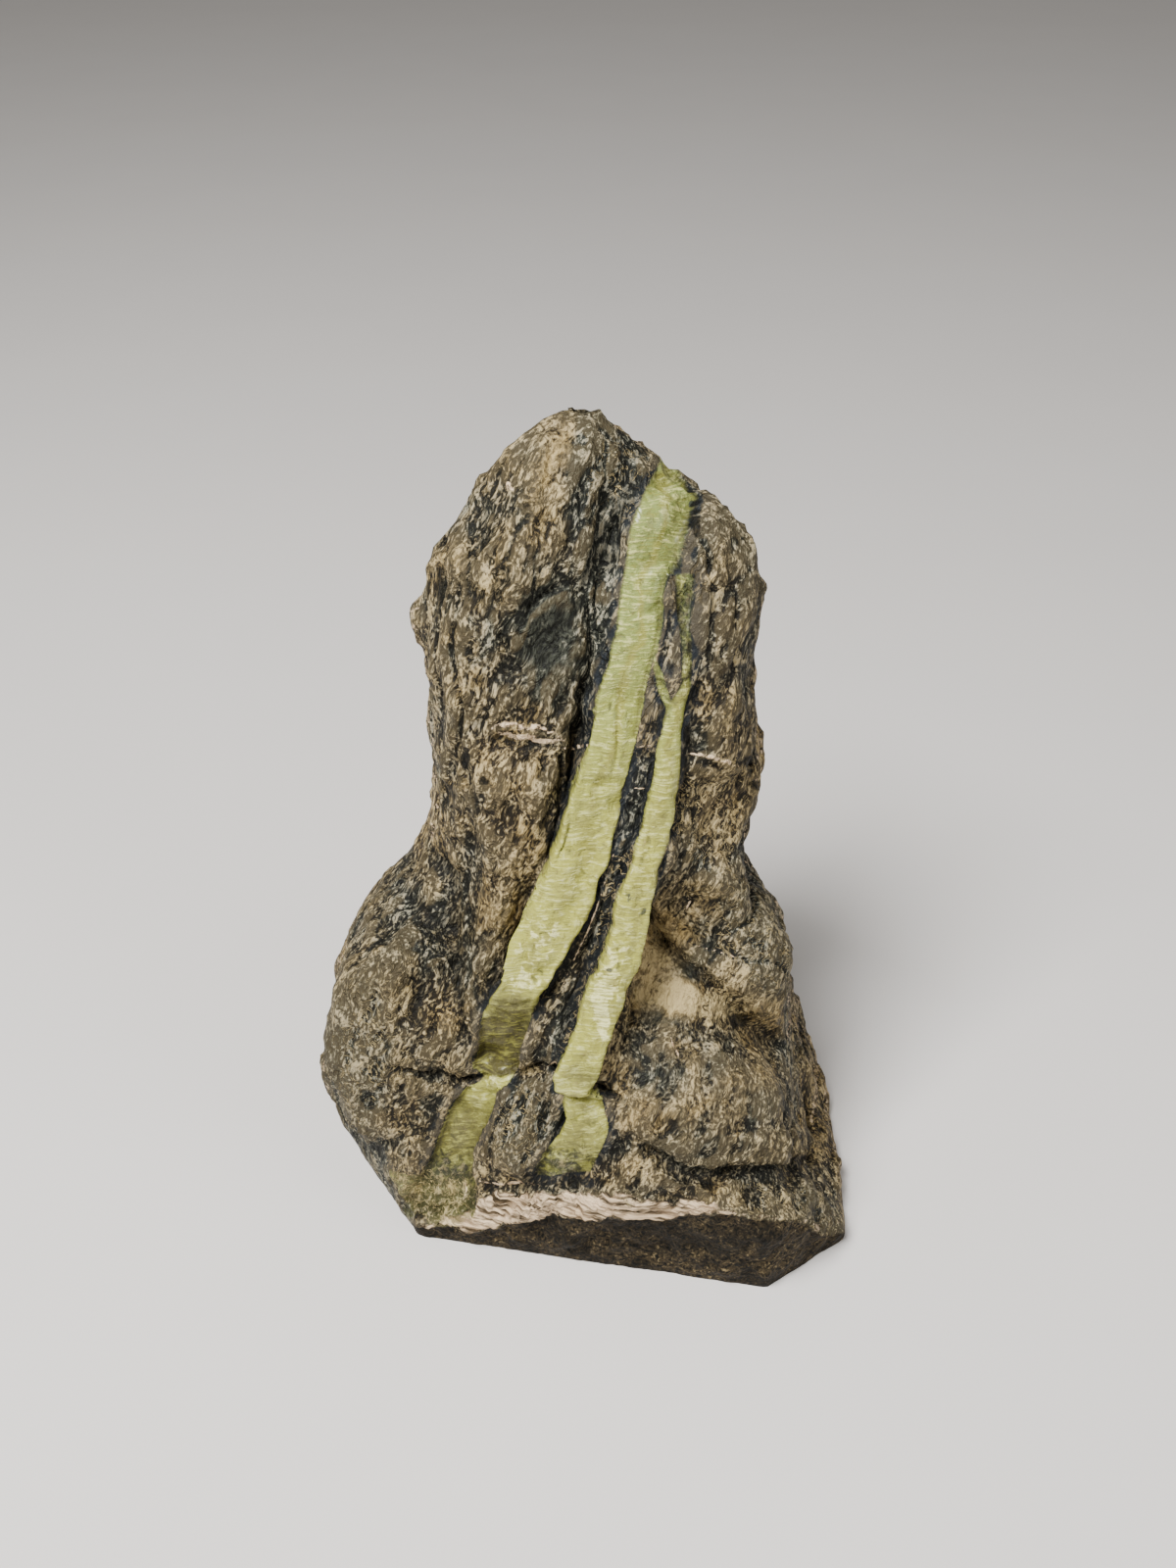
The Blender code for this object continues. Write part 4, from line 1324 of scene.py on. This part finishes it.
class StoneSettings(bpy.types.PropertyGroup):
    """What a user would change on the stone."""

    relief: share_property("Relief", "Share of the front's lumps, ledges and grooves that is kept")
    roughness: share_property("Broken skin", "Share of the chips and crumbs that is kept")
    bump: share_property("Fine grain", "Strength of the grain that is finer than the mesh")
    matrix_colour: colour_property("Matrix", "Dark ground of the rock", (0.008, 0.0085, 0.0065))
    grey_colour: colour_property("Grey grain", "Pale grain on fresh rock", (0.235, 0.222, 0.168))
    olive_grey_colour: colour_property("Grey ground", "Middle tone of fresh rock", (0.034, 0.036, 0.026))
    brown_colour: colour_property("Brown ground", "Dark ground of the weathered rock", (0.015, 0.011, 0.006))
    umber_colour: colour_property("Umber", "Middle tone of weathered rock", (0.095, 0.070, 0.034))
    tan_colour: colour_property("Tan grain", "Pale grain on weathered rock", (0.360, 0.276, 0.138))
    ochre_colour: colour_property("Ochre", "Rusty stain of the weathered rock", (0.255, 0.165, 0.045))
    beige_colour: colour_property("Beige", "Smooth beige break on the front", (0.420, 0.325, 0.155))
    rim_colour: colour_property("Vein rims", "Blue-black rock beside the veins", (0.013, 0.016, 0.019))
    # This colour is also the painted shade in the rock's hollows, as well as real cracks, specks and spots.
    crack_and_shade_colour: colour_property("Cracks", "Rock deep in cracks and hollows", (0.003, 0.003, 0.002))
    break_colour: colour_property("Lower break", "Flat broken face at the foot", (0.040, 0.029, 0.015))
    vein_colour: colour_property("Vein", "Green of the veins low down", (0.330, 0.325, 0.060))
    upper_vein_colour: colour_property("Upper vein", "Green of the veins high up", (0.190, 0.230, 0.060))
    pale_vein_colour: colour_property("Pale fibres", "Bright fibres across the veins", (0.520, 0.520, 0.190))
    # Colour of the painted highlights on the veins' clean breaks.
    painted_vein_highlight_colour: colour_property("Bright breaks", "Shining breaks of the veins", (0.680, 0.660, 0.290))
    yellow_colour: colour_property("Yellow clouds", "Yellow clouds in the veins", (0.235, 0.224, 0.044))
    olive_colour: colour_property("Olive", "Dull green at the veins' lower ends", (0.070, 0.061, 0.021))
    stain_colour: colour_property("Vein stain", "Brown stain at the veins' edges", (0.050, 0.042, 0.012))
    calcite_colour: colour_property("Calcite", "White of the seam and the fine lines", (0.680, 0.515, 0.330))
    blush_colour: colour_property("Calcite blush", "Pink in the seam", (0.420, 0.290, 0.170))
    dirt_colour: colour_property("Seam dirt", "Brown between the seam's leaves", (0.045, 0.030, 0.014))


class StageSettings(bpy.types.PropertyGroup):
    """What a user would change on the stage."""

    floor_size: bpy.props.FloatProperty(
        name="Floor", description="Side of the square floor", default=6.0, min=0.5, unit="LENGTH"
    )
    floor_colour: colour_property("Floor colour", "Colour of the plain floor", (0.66, 0.63, 0.60))
    key_power: bpy.props.FloatProperty(
        name="Key light", description="Power of the main soft light, in watts", default=12.0, min=0.0
    )
    side_power: bpy.props.FloatProperty(
        name="Side light", description="Power of the weaker light, in watts", default=2.0, min=0.0
    )
    sky_strength: bpy.props.FloatProperty(
        name="Sky", description="Strength of the even light from all round", default=0.28, min=0.0
    )


class MESH_OT_serpentine_stone(bpy.types.Operator):
    """Builds the raw serpentine stone"""

    bl_idname = "mesh.serpentine_stone"
    bl_label = "Raw serpentine stone"

    def execute(self, context):
        sizes = context.scene.serpentine_stone
        grid, fields = stone_surface(COLUMNS, ROWS, sizes.relief, sizes.roughness)
        grid, fields = with_underside(grid, fields)
        mesh = closed_mesh("serpentine_stone", grid, PEAK, fields)
        mesh.materials.append(stone_finish(sizes))
        stone = linked("serpentine_stone", mesh)
        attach(stone, "root")
        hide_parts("stone")
        return {"FINISHED"}


class SCENE_OT_serpentine_stage(bpy.types.Operator):
    """Builds the floor, the lights and the camera"""

    bl_idname = "scene.serpentine_stage"
    bl_label = "Stage and camera"

    def execute(self, context):
        settings = context.scene.serpentine_stage
        half = settings.floor_size / 2
        floor_mesh = bpy.data.meshes.new("floor")
        corners = [(-half, -half, 0.0), (half, -half, 0.0), (half, half, 0.0), (-half, half, 0.0)]
        floor_mesh.from_pydata(corners, [], [(0, 1, 2, 3)])
        floor_mesh.materials.append(floor_finish(settings))
        floor = linked("floor", floor_mesh)
        aim = (0.0, 0.0, 0.05)
        soft_light("key_light", (-0.22, -0.30, 0.62), aim, 0.26, settings.key_power)
        soft_light("side_light", (0.55, -0.35, 0.35), aim, 0.40, settings.side_power)
        world = bpy.data.worlds.new("studio")
        context.scene.world = world
        world.use_nodes = True
        world.node_tree.nodes["Background"].inputs["Color"].default_value = (1.0, 0.98, 0.95, 1.0)
        world.node_tree.nodes["Background"].inputs["Strength"].default_value = settings.sky_strength
        lens = bpy.data.cameras.new("camera")
        lens.sensor_width = 36.0
        lens.lens = DRAWING_FOCUS * lens.sensor_width / DRAWING_HEIGHT
        lens.clip_start = 0.01
        camera = linked("camera", lens)
        camera.location = [value * MM for value in EYE]
        camera.rotation_euler = (math.pi / 2 - EYE_PITCH, 0.0, 0.0)
        context.scene.camera = camera
        return {"FINISHED"}


class VIEW3D_PT_serpentine(bpy.types.Panel):
    """Lists the stone's and the stage's settings, and builds them"""

    bl_label = "Raw serpentine stone"
    bl_space_type = "VIEW_3D"
    bl_region_type = "UI"
    bl_category = "Stone"

    def draw(self, context):
        for operator in ("mesh.serpentine_stone", "scene.serpentine_stage"):
            settings = getattr(context.scene, operator.partition(".")[2])
            column = self.layout.column(align=True)
            for name in settings.bl_rna.properties.keys():
                if name not in {"rna_type", "name"}:
                    column.prop(settings, name)
            self.layout.operator(operator)


CLASSES = (
    StoneSettings,
    StageSettings,
    MESH_OT_serpentine_stone,
    SCENE_OT_serpentine_stage,
    VIEW3D_PT_serpentine,
)


def register():
    for cls in CLASSES:
        bpy.utils.register_class(cls)
    bpy.types.Scene.serpentine_stone = bpy.props.PointerProperty(type=StoneSettings)
    bpy.types.Scene.serpentine_stage = bpy.props.PointerProperty(type=StageSettings)


def unregister():
    del bpy.types.Scene.serpentine_stage
    del bpy.types.Scene.serpentine_stone
    for cls in reversed(CLASSES):
        bpy.utils.unregister_class(cls)


def main():
    register()
    bpy.ops.mesh.serpentine_stone()
    bpy.ops.scene.serpentine_stage()


if __name__ == "__main__":
    main()
